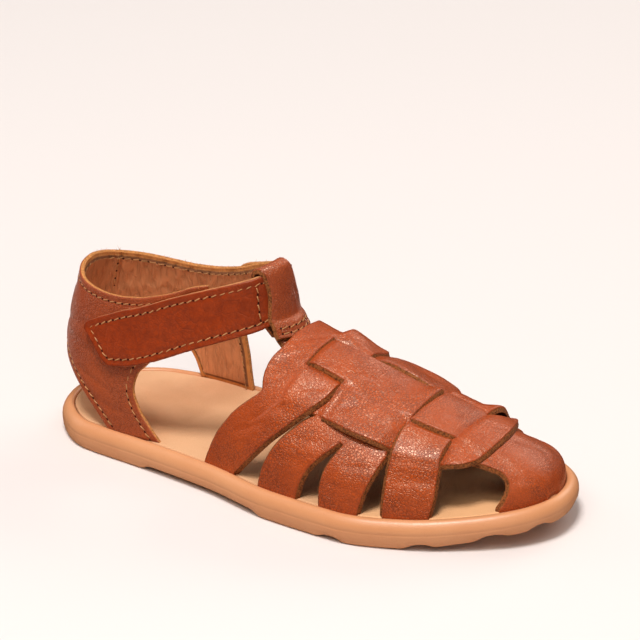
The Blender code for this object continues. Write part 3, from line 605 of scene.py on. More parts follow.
def lip_half_width(x, side):
    """Half width inside the straps' feet at x."""
    share = np.clip((x - STRAP_INSET) / (SOLE_LENGTH - 2 * STRAP_INSET), 0, 1)
    width = side(end_share(share))
    inset = STRAP_INSET * np.clip(4 * share * (1 - share), 0, 1) ** 0.3
    return np.sign(width) * np.maximum(np.abs(width) - inset, 0)


def forefoot_point(x, w):
    """A point on the forefoot form itself."""
    v = w - WEAVE_TURN * (1 - w**2)
    power = 2 / POWER(x)
    foot = RIM_HEIGHT + GAP + spring(x)
    top = np.maximum(RIDGE_HEIGHT(x), foot)
    ridge = RIDGE(x)
    edge = np.where(v < 0, -lip_half_width(x, OUTER_SIDE), lip_half_width(x, INNER_SIDE))
    across = np.abs(np.sin(v * math.pi / 2)) ** power
    up = np.abs(np.cos(v * math.pi / 2)) ** power
    drop = np.minimum(DROP(x), MOST_DROP * (top - foot)) * np.sin(np.clip(v, 0, 1) * math.pi) ** 2
    return np.stack([x, ridge + across * (edge - ridge), foot + (top - foot) * up - drop], -1)


def forefoot(x, w, offset):
    """A point at a height over the forefoot form, at x and turn w.

    w is -1 at the outer foot of a strap, 0 in the middle of the weave and 1 at the inner foot.
    """
    x, turn = np.broadcast_arrays(np.asarray(x, float), np.asarray(w, float))
    w = np.clip(turn, -1, 1)
    small_x, small_w, most_w = 0.05, 0.002, 0.998
    ahead = np.clip(x, FOREFOOT_START, LAST_SECTION)
    side = np.clip(w, -most_w, most_w)
    along = forefoot_point(ahead + small_x, w) - forefoot_point(ahead - small_x, w)
    across = forefoot_point(ahead, side + small_w) - forefoot_point(ahead, side - small_w)
    rise = unit(np.cross(along, across)) * np.asarray(offset)[..., None]
    points = forefoot_point(np.minimum(x, TOE_TIP), w) + rise
    points[..., 2] -= np.clip(np.abs(turn) - 1, 0, None) * FOOT_RUN + np.clip(x - TOE_TIP, 0, None)
    return points


def ankle_point(angle, z):
    """A point on the heel and ankle form itself."""
    c, s = np.cos(angle), np.sin(angle)
    power = 2 / ANKLE_POWER
    end = np.where(c < 0, ANKLE_FORM["rear"](z), ANKLE_FORM["front"](z))
    x = ANKLE_MIDDLE + np.abs(end - ANKLE_MIDDLE) * np.sign(c) * np.abs(c) ** power
    y = ANKLE_FORM["half_width"](z) * np.sign(s) * np.abs(s) ** power
    return np.stack([x, y, z + 0 * x], -1)


def ankle(degrees, z, offset):
    """A point over the heel and ankle form, at an angle from the front and a height.

    The angle is positive on the inner side.
    """
    angle, z = np.broadcast_arrays(np.radians(np.asarray(degrees, float)), np.asarray(z, float))
    small_angle, small_z = 0.01, 0.3
    round_it = ankle_point(angle + small_angle, z) - ankle_point(angle - small_angle, z)
    upward = ankle_point(angle, z + small_z) - ankle_point(angle, z - small_z)
    return ankle_point(angle, z) + unit(np.cross(round_it, upward)) * np.asarray(offset)[..., None]


def sole_side(t, side, inset, height):
    """Points of one side of the sole's outline, moved inwards."""
    x = SOLE_LENGTH * (1 - np.cos(math.pi * t)) / 2
    sign = -1 if side is OUTER_SIDE else 1
    line = np.stack([x, sign * side(t)], 1)
    along = np.gradient(line, axis=0)
    for end, way in ((0, sign), (-1, -sign)):
        along[end] = (0.0, way)
    inward = unit(np.stack([-along[:, 1], along[:, 0]], 1)) * (1 if side is OUTER_SIDE else -1)
    line = line + inward * inset
    return np.column_stack([line, height + spring(line[:, 0])])


def spans(stops, step, ends=(0.12, 0.32, 0.65, 1.1), scale=1.0):
    """Positions from the first stop to the last, about a step apart and closer beside every stop.

    scale is the number of millimetres that one unit of the stops covers.
    """
    found = [np.array([stops[0]], float)]
    for low, high in zip(stops[:-1], stops[1:]):
        run = (high - low) * scale
        near = np.array([e for e in ends if e < 0.3 * run])
        first = near[-1] if len(near) else 0.0
        count = max(1, round((run - 2 * first) / step))
        inside = np.linspace(first, run - first, count + 1)
        inside = inside if len(near) else inside[1:-1]
        every = np.concatenate([near[:-1], inside, run - near[:-1][::-1], [run]])
        found.append(low + every / scale)
    return np.concatenate(found)


def between(values):
    """Middles of neighbouring values, one for each cell of a grid line."""
    return (values[:-1] + values[1:]) / 2


def nearest(points, targets):
    """Distance from each point to the nearest target."""
    tree = kdtree.KDTree(len(targets))
    for k, target in enumerate(targets):
        tree.insert(target, k)
    tree.balance()
    return np.array([tree.find(point)[2] for point in points])


def along_lines(lines, step=0.25):
    """Points every step along polylines."""
    found = []
    for line in lines:
        line = np.asarray(line, float)
        for a, b in zip(line[:-1], line[1:]):
            count = max(1, int(np.linalg.norm(b - a) / step))
            found.append(a + (b - a) * np.linspace(0, 1, count, endpoint=False)[:, None])
    return np.concatenate(found)


def waves(points, size, depth, seed):
    """Soft unevenness of a hand-worked surface."""
    shift = Vector((seed, 2.3 * seed, 0.7 * seed))
    return depth * np.array([noise.noise(Vector(p) / size + shift) for p in points])


def add_object(name, points, faces, surfaces, index=None, values=None, sharp=SHARP_ANGLE):
    """A named piece on the frame's root body, from points in millimetres.

    index gives each face one of the surfaces, and values give each point a number under a name.
    """
    mesh = bpy.data.meshes.new(name)
    places = (np.asarray(points) - CENTRE) * MM
    mesh.from_pydata(places.tolist(), [], [tuple(face) for face in faces])
    for surface in surfaces:
        mesh.materials.append(surface)
    if index is not None:
        mesh.polygons.foreach_set("material_index", np.asarray(index, np.int32))
    for key, value in (values or {}).items():
        numbers = mesh.attributes.new(key, "FLOAT", "POINT")
        numbers.data.foreach_set("value", np.asarray(value, np.float32))
    work = bmesh.new()
    work.from_mesh(mesh)
    bmesh.ops.remove_doubles(work, verts=work.verts, dist=2e-6)
    bmesh.ops.dissolve_degenerate(work, edges=work.edges, dist=1e-7)
    bmesh.ops.recalc_face_normals(work, faces=work.faces)
    work.to_mesh(mesh)
    work.free()
    mesh.polygons.foreach_set("use_smooth", np.ones(len(mesh.polygons), bool))
    mesh.set_sharp_from_angle(angle=math.radians(sharp))
    made = bpy.data.objects.new(name, mesh)
    bpy.context.scene.collection.objects.link(made)
    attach(made, "root")
    return made


def lines_of(rows):
    """Crease rows as (line, depth, width)."""
    return [(np.linspace(row[:2], row[2:4], 20), row[4], row[5]) for row in rows]


def sheet_border(quads, points):
    """Edges that only one cell has, each in the direction in which that cell goes round."""
    count = len(points)
    ends = np.concatenate([np.stack([quads[:, k], quads[:, (k + 1) % 4]], 1) for k in range(4)])
    run = np.linalg.norm(points[ends[:, 0]] - points[ends[:, 1]], axis=1)
    ends = ends[run > 1e-4]
    back = ends[:, 1] * count + ends[:, 0]
    return ends[~np.isin(ends[:, 0] * count + ends[:, 1], back)]


def sheet_outward(quads, border, skin, floor):
    """Direction out of a sheet at each point of its border, and 0 elsewhere."""
    up = unit(skin - floor)
    corner = skin[quads[:, 0]]
    facing = np.cross(skin[quads[:, 1]] - corner, skin[quads[:, 3]] - corner)
    turned = np.sign((facing * up[quads[:, 0]]).sum())
    side = np.cross(unit(skin[border[:, 1]] - skin[border[:, 0]]), up[border[:, 0]]) * turned
    outward = np.zeros(skin.shape)
    for end in (0, 1):
        np.add.at(outward, border[:, end], side)
    return unit(outward)


def leather_sheet(
    name,
    place,
    u,
    v,
    under,
    thick,
    surfaces,
    keep=None,
    seams=(),
    creases=(),
    inside=(),
    step_in=0.0,
    bevel=0.0,
    seed=1.0,
):
    """A sheet of leather on a form: grain side with rounded edges, a raw cut edge and an inside.

    u and v are the grid's places on the form, under is the height of the sheet's inside and keep
    marks the cells that stay. A seam is a line in (u, v) that stitches pull down. A crease is a
    line in (u, v), a depth and a width, and a depth below 0 makes a ridge; those of inside are on
    the other face. step_in is how far a lining's edge stands off the inside, and bevel is how far
    the inside's edge stands out past the grain side's.
    """
    edge_round = bpy.context.scene.sandal_sizes.edge_round / MM
    rows, columns = u.shape
    count = rows * columns
    under = np.broadcast_to(np.asarray(under, float), u.shape)
    number = np.arange(count).reshape(rows, columns)
    quads = np.stack([number[:-1, :-1], number[:-1, 1:], number[1:, 1:], number[1:, :-1]], -1)
    quads = (quads if keep is None else quads[keep]).reshape(-1, 4)

    skin = place(u, v, under + thick).reshape(-1, 3)
    floor = place(u, v, under).reshape(-1, 3)
    flat = place(u, v, np.full(u.shape, thick)).reshape(-1, 3)
    border = sheet_border(quads, skin)
    parts = np.linspace(0, 1, 4, endpoint=False)[:, None, None]
    rim = skin[border[:, 0]] + (skin[border[:, 1]] - skin[border[:, 0]]) * parts
    away = nearest(skin, rim.reshape(-1, 3))

    def closeness(lines, width):
        """1 on the lines, falling off over the width."""
        paths = [place(*np.asarray(line, float).T, np.full(len(line), thick)) for line in lines]
        return np.exp(-((nearest(flat, along_lines(paths)) / width) ** 2))

    near = np.clip(away / edge_round, 0, 1)
    drop = edge_round * (1 - np.sqrt(1 - (1 - near) ** 2))
    relief = waves(skin, WAVE_SIZES[0], UNEVEN, seed)
    relief = relief + waves(skin, WAVE_SIZES[1], UNEVEN * FINE_WAVES, seed + 5)
    inner = np.zeros(count)
    sewn = np.zeros(count)
    if len(seams):
        sewn = closeness(seams, SEAM_WIDTH)
        relief = relief - SEAM_DEPTH * sewn
    for line, depth, width in creases:
        relief = relief - depth * closeness([line], width)
    for line, depth, width in inside:
        inner = inner + depth * closeness([line], width)
    fade = ease(away, 0.0, RELIEF_RUN)
    relief = relief * fade
    inner = (inner + INSIDE_RELIEF * relief) * fade
    step = ease(away, LINING_INSET - LINING_STEP_RUN, LINING_INSET + LINING_STEP_RUN)
    inner = inner + step_in * (1 - step)
    top = place(u, v, (under.ravel() + thick - drop + relief).reshape(u.shape)).reshape(-1, 3)
    low = under.ravel() + INSIDE_ROUND * drop + inner
    low = place(u, v, low.reshape(u.shape)).reshape(-1, 3)

    outward = sheet_outward(quads, border, skin, floor)
    edge_points = np.unique(border)
    low[edge_points] += outward[edge_points] * bevel
    place_of = np.full(count, -1)
    place_of[edge_points] = np.arange(len(edge_points))
    points, bands = [top, low], [border]
    for k, level in enumerate(CUT_LEVELS):
        middle = top[edge_points] + (low[edge_points] - top[edge_points]) * level
        fuzz = CUT_BULGE + waves(middle, FUZZ_SIZE, CUT_FUZZ, seed + 20 + k)
        points.append(middle + outward[edge_points] * fuzz[:, None])
        bands.append(2 * count + k * len(edge_points) + place_of[border])
    bands.append(border + count)
    walls = []
    for first, second in zip(bands[:-1], bands[1:]):
        walls.append(np.stack([first[:, 1], first[:, 0], second[:, 0], second[:, 1]], 1))
    walls = np.concatenate(walls)
    faces = np.concatenate([quads, quads[:, ::-1] + count, walls])
    index = np.repeat([0, 2, 1], [len(quads), len(quads), len(walls)])
    used = np.unique(faces)
    renumber = np.zeros(faces.max() + 1, int)
    renumber[used] = np.arange(len(used))
    none = np.zeros(len(CUT_LEVELS) * len(edge_points))
    values = {
        "edge": np.concatenate([away, away, none])[used],
        "sewn": np.concatenate([sewn, sewn, none])[used],
    }
    return add_object(name, np.concatenate(points)[used], renumber[faces], surfaces, index, values)


def inset_line(place, line, distance, height):
    """A line on a form moved to its left in (u, v), without the folds at corners.

    The distance is measured on the form.
    """
    line = np.asarray(line, float)
    u, v = line.T
    level = np.full(len(line), height)
    small = 0.05
    by_u = (place(u + small, v, level) - place(u - small, v, level)) / (2 * small)
    by_v = (place(u, v + small, level) - place(u, v - small, level)) / (2 * small)
    way = np.gradient(line, axis=0)
    along = by_u * way[:, :1] + by_v * way[:, 1:]
    left = unit(np.cross(unit(np.cross(by_u, by_v)), along)) * distance
    uu, uv, vv = (by_u * by_u).sum(-1), (by_u * by_v).sum(-1), (by_v * by_v).sum(-1)
    left_u, left_v = (left * by_u).sum(-1), (left * by_v).sum(-1)
    size = uu * vv - uv**2
    step = np.stack([left_u * vv - left_v * uv, left_v * uu - left_u * uv], 1) / size[:, None]
    moved = line + step
    gap = nearest(place(*moved.T, level), along_lines([place(u, v, level)]))
    return moved[gap > 0.93 * abs(distance)]


def sewn_rows(place, seams, *heights):
    """Stitch rows for seams on a form, each a path and the surface's direction along it.

    Each of the heights is a height over the form and the way that the stitches face, 1 or -1.
    """
    rows = []
    for line in seams:
        for height, way in heights:
            path = place(*line.T, np.full(len(line), height))
            rows.append((path, place(*line.T, np.full(len(line), height + way)) - path))
    return rows


def stitches(name, rows):
    """Rows of stitches with dark discs at their needle holes as painted shade, joined to one piece.
    """
    sizes = bpy.context.scene.sandal_sizes
    half, wanted = sizes.thread / MM / 2, sizes.stitch_pitch / MM
    sides, bands = THREAD_SIDES, len(STITCH_RINGS) - 1
    turn = np.linspace(0, 2 * math.pi, sides, endpoint=False)
    spin = np.stack([np.cos(turn), np.sin(turn)], 1)
    points, faces, index = [], [], []
    total = 0
    for path, normals in rows:
        run = np.concatenate([[0], np.cumsum(np.linalg.norm(np.diff(path, axis=0), axis=1))])
        count = max(1, round(run[-1] / wanted))
        pitch = run[-1] / count
        for k in range(count):
            middle = (k + 0.5) * pitch
            ahead = [middle + share * pitch * STITCH_SHARE for share, _, _ in STITCH_RINGS]
            ahead.append(k * pitch)
            centre = np.stack([np.interp(ahead, run, path[:, i]) for i in range(3)], 1)
            normal = unit(np.array([np.interp(middle, run, normals[:, i]) for i in range(3)]))
            along = unit(centre[-2] - centre[0])
            across = np.cross(normal, along)
            sway = math.sin(37.0 * k + 11.0 * len(points))  # no two stitches slant alike
            lean = (STITCH_LEAN + LEAN_CHANGE * sway) * pitch
            for (share, rise, width), place in zip(STITCH_RINGS, centre):
                at = place + normal * rise * half + across * lean * share
                ring = spin[:, :1] * across + spin[:, 1:] * normal * THREAD_FLAT
                points.append(at + ring * half * width)
            for r in range(bands):
                a, b = total + r * sides, total + (r + 1) * sides
                for s in range(sides):
                    n = (s + 1) % sides
                    faces.append((a + s, a + n, b + n, b + s))
            total += len(STITCH_RINGS) * sides
            # a dark disc at each needle hole: painted shade of the hole
            disc = spin[:, :1] * along * HOLE_STRETCH + spin[:, 1:] * across
            points.append(centre[-1] + normal * HOLE_RISE + disc * HOLE_RADIUS)
            faces.append(tuple(range(total, total + sides)))
            index += [0] * bands * sides + [1]
            total += sides
    surfaces = [sewing_thread(), raw_side("needle_hole")]
    return add_object(
        name, np.concatenate(points), faces, surfaces, index, sharp=THREAD_SHARP_ANGLE
    )


def loose_fibres(name, place, line, height, surface, seed, longest):
    """Short fibres standing out of a raw edge, to the left of its line, joined to one piece."""
    chance = np.random.default_rng(seed)
    path, above = (
        along_lines([place(*line.T, np.full(len(line), level))], FIBRE_STEP)
        for level in (height, height + 1.0)
    )
    count = min(len(path), len(above))
    outward = unit(above[:count] - path[:count])
    along = unit(np.gradient(path[:count], axis=0))
    lean = chance.normal(0.0, FIBRE_LEAN, (count, 3))
    tall = chance.uniform(0.25, 1.0, (count, 1)) ** 2 * longest
    root = path[:count] + outward * chance.uniform(-FIBRE_SPREAD, FIBRE_SPREAD, (count, 1))
    way = unit(np.cross(outward, along) + lean)
    half = along * FIBRE_WIDTH / 2
    points = np.stack([root - half, root + half, root + way * tall], 1).reshape(-1, 3)
    return add_object(name, points, np.arange(3 * count).reshape(-1, 3), [surface])


# Materials


def rgba(value):
    """A colour with its alpha."""
    return (*value, 1.0)


def shade(tone, *shares):
    """A colour times one share, or times a share each for red, green and blue."""
    return [c * share for c, share in zip(tone, shares * 3 if len(shares) == 1 else shares)]


class Nodes:
    """Short calls for building a node tree."""

    def __init__(self, tree):
        self.tree = tree

    def link(self, value, socket):
        """Feeds a socket from another one, or sets it to a constant."""
        if isinstance(value, bpy.types.NodeSocket):
            self.tree.links.new(value, socket)
        else:
            socket.default_value = value

    def add(self, kind, inputs=None, **settings):
        node = self.tree.nodes.new(kind)
        for key, value in settings.items():
            setattr(node, key, value)
        for key, value in (inputs or {}).items():
            self.link(value, node.inputs[key])
        return node

    def place(self):
        return self.add("ShaderNodeTexCoord").outputs["Object"]

    def value(self, name):
        """A number that the mesh holds under a name."""
        return self.add("ShaderNodeAttribute", attribute_name=name).outputs["Fac"]

    def noise(self, place, scale, detail, **more):
        inputs = {"Vector": place, "Scale": scale, "Detail": detail, **more}
        return self.add("ShaderNodeTexNoise", inputs).outputs

    def cells(self, place, scale):
        """Distance to the edges of irregular cells."""
        inputs = {"Vector": place, "Scale": scale}
        made = self.add("ShaderNodeTexVoronoi", inputs, feature="DISTANCE_TO_EDGE")
        return made.outputs["Distance"]

    def maths(self, operation, first, second, clamp=False):
        inputs = {0: first, 1: second}
        made = self.add("ShaderNodeMath", inputs, operation=operation, use_clamp=clamp)
        return made.outputs[0]

    def times(self, first, second, clamp=False):
        return self.maths("MULTIPLY", first, second, clamp)

    def vector(self, operation, inputs):
        return self.add("ShaderNodeVectorMath", inputs, operation=operation).outputs[0]

    def mix(self, share, first, second, blend="MIX"):
        inputs = {0: share, 6: first, 7: second}
        made = self.add("ShaderNodeMix", inputs, data_type="RGBA", blend_type=blend)
        return made.outputs[2]

    def range(self, value, low, high, new_low=0.0, new_high=1.0):
        inputs = {0: value, 1: low, 2: high, 3: new_low, 4: new_high}
        return self.add("ShaderNodeMapRange", inputs, interpolation_type="SMOOTHSTEP").outputs[0]

    def grain(self, pebbles, creases):
        inputs = {"Pebbles per Metre": pebbles, "Crease Share": creases}
        return self.add("ShaderNodeGroup", inputs, node_tree=grain_group()).outputs

    def clouds(self, light, dark, per_metre, share=0.5):
        inputs = {"Light": rgba(light), "Dark": rgba(dark)}
        inputs.update({"Clouds per Metre": per_metre, "Share": share})
        return self.add("ShaderNodeGroup", inputs, node_tree=cloud_group()).outputs

    def edges(self):
        return self.add("ShaderNodeGroup", node_tree=edge_group()).outputs


def node_group(name, inputs, outputs, fill):
    """The node group of that name: fill builds it from its input sockets the first time.

    inputs are (name, default), outputs are (name, socket type), and fill returns their values.
    """
    if name in bpy.data.node_groups:
        return bpy.data.node_groups[name]
    tree = bpy.data.node_groups.new(name, "ShaderNodeTree")
    for key, default in inputs:
        kind = "NodeSocketColor" if isinstance(default, tuple) else "NodeSocketFloat"
        tree.interface.new_socket(key, in_out="INPUT", socket_type=kind).default_value = default
    for key, kind in outputs:
        tree.interface.new_socket(key, in_out="OUTPUT", socket_type=kind)
    nodes = Nodes(tree)
    values = fill(nodes, nodes.add("NodeGroupInput").outputs)
    nodes.add("NodeGroupOutput", {key: value for (key, _), value in zip(outputs, values)})
    return tree


def grain_group():
    """Pebbled leather grain: a height, a mask of the valleys between pebbles, and flecks."""

    def fill(nodes, enter):
        place = nodes.place()
        warp = nodes.noise(place, 420.0, 2.0)["Color"]
        bent = nodes.vector("ADD", {0: place, 1: nodes.vector("SCALE", {0: warp, "Scale": 0.0011})})
        scale = enter["Pebbles per Metre"]
        pebble = nodes.range(nodes.cells(bent, scale), 0.0, 0.22)
        crease = nodes.range(nodes.cells(bent, nodes.times(scale, 0.34)), 0.0, 0.08)
        fine = nodes.noise(place, 3800.0, 2.0)[0]
        patch = nodes.range(nodes.noise(place, 75.0, 2.0)[0], 0.36, 0.64, 0.5, 1.1)
        fleck = nodes.range(nodes.noise(bent, 1500.0, 3.0)[0], 0.36, 0.66)
        valley = nodes.times(nodes.maths("SUBTRACT", 1.0, pebble), patch, clamp=True)
        height = nodes.times(pebble, patch)
        height = nodes.maths("ADD", height, nodes.times(crease, enter["Crease Share"]))
        height = nodes.maths("ADD", height, nodes.times(fine, enter["Fine Share"]))
        return height, valley, fleck

    inputs = (("Pebbles per Metre", 900.0), ("Crease Share", 0.4), ("Fine Share", 0.1))
    outputs = [(key, "NodeSocketFloat") for key in ("Height", "Valley", "Fleck")]
    return node_group("leather_grain", inputs, outputs, fill)


def cloud_group():
    """Two colours that drift into each other, as dye does in leather or colour in rubber."""

    def fill(nodes, enter):
        broad = nodes.noise(nodes.place(), enter["Clouds per Metre"], 4.0)[0]
        cloud = nodes.times(nodes.range(broad, 0.36, 0.68), enter["Share"])
        return nodes.mix(cloud, enter["Light"], enter["Dark"]), cloud

    inputs = (("Light", rgba((0.5, 0.5, 0.5))), ("Dark", rgba((0.2, 0.2, 0.2))))
    inputs += (("Clouds per Metre", 60.0), ("Share", 0.5))
    outputs = (("Colour", "NodeSocketColor"), ("Cloud", "NodeSocketFloat"))
    return node_group("colour_clouds", inputs, outputs, fill)


def edge_group():
    """How worn a leather edge is, broken up and falling away inwards, and how near a seam is, for
    the painted shade along seams.
    """

    def fill(nodes, enter):
        broken = nodes.range(nodes.noise(nodes.place(), 700.0, 3.0)[0], 0.25, 0.7, 0.3, 1.0)
        away = nodes.maths("DIVIDE", nodes.value("edge"), enter["Width"])
        near = nodes.maths("SUBTRACT", 1.0, away, clamp=True)
        return nodes.times(near, broken), nodes.value("sewn")

    outputs = (("Wear", "NodeSocketFloat"), ("Sewn", "NodeSocketFloat"))
    return node_group("edge_wear", (("Width", 1.2),), outputs, fill)


def material(name):
    """A new material: its node helper and its shader."""
    made = bpy.data.materials.new(name)
    made.use_nodes = True
    return made, Nodes(made.node_tree), made.node_tree.nodes["Principled BSDF"]


def dress(nodes, shader, base, rough, height, depth, finish):
    """Links what changes over a surface to its shader and sets what doesn't; depth is in mm."""
    inputs = {"Height": height, "Distance": depth * MM, "Strength": 1.0}
    bump = nodes.add("ShaderNodeBump", inputs).outputs[0]
    for key, value in {"Base Color": base, "Roughness": rough, "Normal": bump, **finish}.items():
        nodes.link(value, shader.inputs[key])


def grain_side(name):
    """Grain-side leather: dye clouds, pebbles, worn edges, painted shade in the valleys and along
    seams, and a soft finish.
    """
    if name in bpy.data.materials:
        return bpy.data.materials[name]
    look = GRAINS[name]
    colours = bpy.context.scene.sandal_colours
    light, dark = (getattr(colours, look[key]) for key in ("light", "dark"))
    made, nodes, shader = material(name)
    grain = nodes.grain(look["pebbles"], look["creases"])
    edges = nodes.edges()
    base = nodes.clouds(light, dark, look["clouds"], DYE_SHARE)["Colour"]
    for mask, share, tone in (
        (nodes.clouds(light, dark, BLOTCHES)["Cloud"], look["mottle"], dark),
        # painted shade in the valleys between pebbles
        (grain["Valley"], look["lines"], shade(dark, VALLEY_SHADE_TONE)),
        (grain["Fleck"], FLECK_SHARE, dark),
        (edges["Wear"], WEAR_SHARE, dark),
        # painted shade in the groove that a row of stitches pulls down
        (edges["Sewn"], SEAM_SHADE_SHARE, dark),
    ):
        base = nodes.mix(nodes.times(mask, share), base, rgba(tone))
    rough = nodes.range(grain["Valley"], 0.0, 1.0, look["rough"], look["rough"] + VALLEY_ROUGHNESS)
    finish = {**GRAIN_FINISH, **look["finish"]}
    dress(nodes, shader, base, rough, grain["Height"], look["depth"], finish)
    return made


def lining_folds(nodes, base):
    """Colour and height of the lining: upright folds with painted shade in their hollows, and a
    dark line under the collar's edge.
    """
    colours = bpy.context.scene.sandal_colours
    upright = nodes.vector("MULTIPLY", {0: nodes.place(), 1: (1.0, 1.0, 0.25)})
    folds = nodes.range(nodes.noise(upright, 520.0, 4.0, Distortion=0.6)[0], 0.3, 0.6)
    # painted shade in the hollows of the folds
    fold_shade = nodes.range(folds, 1.0, 0.0, 0.0, 0.35)
    base = nodes.mix(fold_shade, base, rgba(shade(colours.lining, 0.5)))
    edge = nodes.value("edge")
    base = nodes.mix(nodes.range(edge, 1.7, 1.3), base, rgba(colours.collar_edge))
    line = nodes.times(nodes.range(edge, 1.2, 1.7), nodes.range(edge, 2.5, 2.1))
    return nodes.mix(nodes.times(line, 0.8), base, rgba(shade(colours.lining, 0.2))), folds


def raw_side(name):
    """Raw leather: a cut edge, the flesh side or the napped lining, fibrous and dull."""
    if name in bpy.data.materials:
        return bpy.data.materials[name]
    key, share, darkest, clouds, fibres, depth = RAW_SIDES[name]
    tone = getattr(bpy.context.scene.sandal_colours, key)
    made, nodes, shader = material(name)
    base = nodes.clouds(tone, shade(tone, darkest), clouds, share)["Colour"]
    nap = nodes.noise(nodes.place(), fibres, 4.0)[0]
    rough = nodes.range(nap, 0.2, 0.8, 0.7, 0.95)
    base, height = lining_folds(nodes, base) if name == "lining" else (base, nap)
    dress(nodes, shader, base, rough, height, depth, {"Specular IOR Level": 0.2})
    return made


def sewing_thread():
    """Twisted thread with darker strands."""
    made, nodes, shader = material("sewing_thread")
    tone = bpy.context.scene.sandal_colours.thread
    base = nodes.clouds(tone, shade(tone, 0.5), 500.0)["Colour"]
    inputs = {"Vector": nodes.place(), "Scale": 900.0, "Distortion": 1.5}
    twist = nodes.add("ShaderNodeTexWave", inputs, bands_direction="DIAGONAL").outputs["Fac"]
    base = nodes.mix(nodes.times(twist, 0.3), base, rgba(shade(tone, 0.4)))
    dress(nodes, shader, base, nodes.range(twist, 0.0, 1.0, 0.5, 0.75), twist, 0.08, {})
    return made


def insole_leather():
    """Fine smooth leather, with painted light that makes the fore part paler."""
    made, nodes, shader = material("insole_grain")
    tone = bpy.context.scene.sandal_colours.insole
    base = nodes.clouds(tone, shade(tone, 0.86, 0.76, 0.68), 38.0)["Colour"]
    grain = nodes.grain(1900.0, 0.2)
    # painted shade in the valleys of the grain
    base = nodes.mix(nodes.times(grain["Valley"], 0.22), base, rgba(shade(tone, 0.7, 0.6, 0.5)))
    # painted light: the fore part is made paler, for light that falls into the toe opening
    along = nodes.add("ShaderNodeSeparateXYZ", {0: nodes.place()}).outputs[0]
    fore = nodes.range(along, 0.02, 0.06)
    base = nodes.mix(fore, base, nodes.mix(1.0, base, (1.28, 1.28, 1.2, 1.0), "MULTIPLY"))
    rough = nodes.range(grain["Valley"], 0.0, 1.0, 0.55, 0.75)
    dress(nodes, shader, base, rough, grain["Height"], 0.05, {"Specular IOR Level": 0.3})
    return made


def gum_rubber():
    """Slightly cloudy gum rubber with fine specks."""
    made, nodes, shader = material("sole_gum")
    tone = bpy.context.scene.sandal_colours.rubber
    base = nodes.clouds(tone, shade(tone, 0.9, 0.8, 0.72), 30.0)["Colour"]
    dust = nodes.noise(nodes.place(), 1500.0, 3.0)[0]
    speck = nodes.times(nodes.range(dust, 0.6, 0.75), 0.25)
    base = nodes.mix(speck, base, rgba(shade(tone, 0.8, 0.66, 0.55)))
    finish = {"Specular IOR Level": 0.5, "Coat Weight": 0.2, "Coat Roughness": 0.3}
    dress(nodes, shader, base, nodes.range(dust, 0.3, 0.7, 0.34, 0.48), dust, 0.03, finish)
    return made


def floor_material():
    """Dull, almost even paper."""
    made, nodes, shader = material("studio_floor")
    tone = bpy.context.scene.sandal_colours.floor
    nodes.link(nodes.clouds(tone, shade(tone, 0.99), 3.0)["Colour"], shader.inputs["Base Color"])
    shader.inputs["Roughness"].default_value = 0.95
    shader.inputs["Specular IOR Level"].default_value = 0.0
    return made


# Pieces


def woven(grain="woven_grain"):
    """Surfaces of a woven strap: grain side, cut edge and inside."""
    return [grain_side(grain), raw_side("cut_edge"), raw_side("flesh_side")]


def leather_thickness():
    return bpy.context.scene.sandal_sizes.upper_leather / MM


def mesh_step():
    return bpy.context.scene.sandal_sizes.mesh_step / MM


def layer():
    """Height of one strap lying over another."""
    return leather_thickness() + LAYER_GAP


def strap_piece(name, u, v, under, seed, keep=None, grain="woven_grain"):
    """One piece of the woven upper on the forefoot form."""
    made = leather_sheet(
        name,
        forefoot,
        u,
        v,
        under,
        leather_thickness(),
        woven(grain),
        keep,
        creases=lines_of(CREASES[name]),
        bevel=CUT_BEVEL,
        seed=seed,
    )
    return made


def across_turns(stops, scale=TURN_SCALE):
    """Mesh lines of a strap from its outer to its inner end."""
    return spans(stops, mesh_step(), scale=scale)


def build_saddle():
    """The wide strap behind the weave, slit across the middle for the middle strip to pass."""
    over = layer()
    w = across_turns((-FOOT_TURN, SLIT_OUTER, SLIT_INNER, FOOT_TURN))
    c = spans((0.0, *SLIT_SHARES, 1.0), mesh_step(), scale=25.0)
    share, turn = np.meshgrid(c, w)
    away = np.abs(turn)
    rear, front = SADDLE_REAR(away), EDGES["saddle_front"](away)
    x = rear + (front - rear) * share
    # Rear half: over the middle strip's end, down to the foot, with a swell at its rear edge
    back = over - 1.1 * ease(away, 0.19, 0.36) - 0.85 * ease(away, 0.36, 0.6)
    back = back + 0.5 * hump(away, 0.3, 0.16) * (1 - ease(share, 0.0, 0.3))
    back = back - 0.7 * ease(turn, 0.12, 0.34) * ease(share, 0.1, 0.4)
    # Front half: under the middle strip, over the lanes, and raised like a finger on the inner side
    outer_rise = ease(turn, SLIT_OUTER + 0.03, SLIT_OUTER - 0.05)
    beside = np.where(turn < 0, outer_rise, ease(turn, 0.06, 0.14))
    fore = 0.1 + over * beside
    fore = fore - (over - 0.9) * ease(away, 0.42, 0.54) - 0.9 * ease(away, 0.54, 0.68)
    finger = hump(turn, 0.25, 0.18)
    fore = fore + 1.9 * finger * (1 - ease(share, 0.5, 0.95)) - 0.9 * finger * ease(share, 0.7, 1.0)
    in_slit = (turn > SLIT_OUTER) & (turn < SLIT_INNER)
    part = np.where(in_slit, share > np.mean(SLIT_SHARES), ease(share, 0.40, 0.52))
    under = back + (fore - back) * part + 0.05
    cells_w, cells_c = np.meshgrid(between(w), between(c), indexing="ij")
    slit = (cells_w > SLIT_OUTER) & (cells_w < SLIT_INNER)
    slit = slit & (cells_c > SLIT_SHARES[0]) & (cells_c < SLIT_SHARES[1])
    return strap_piece("saddle_strap", x, turn, under, 1.0, ~slit)


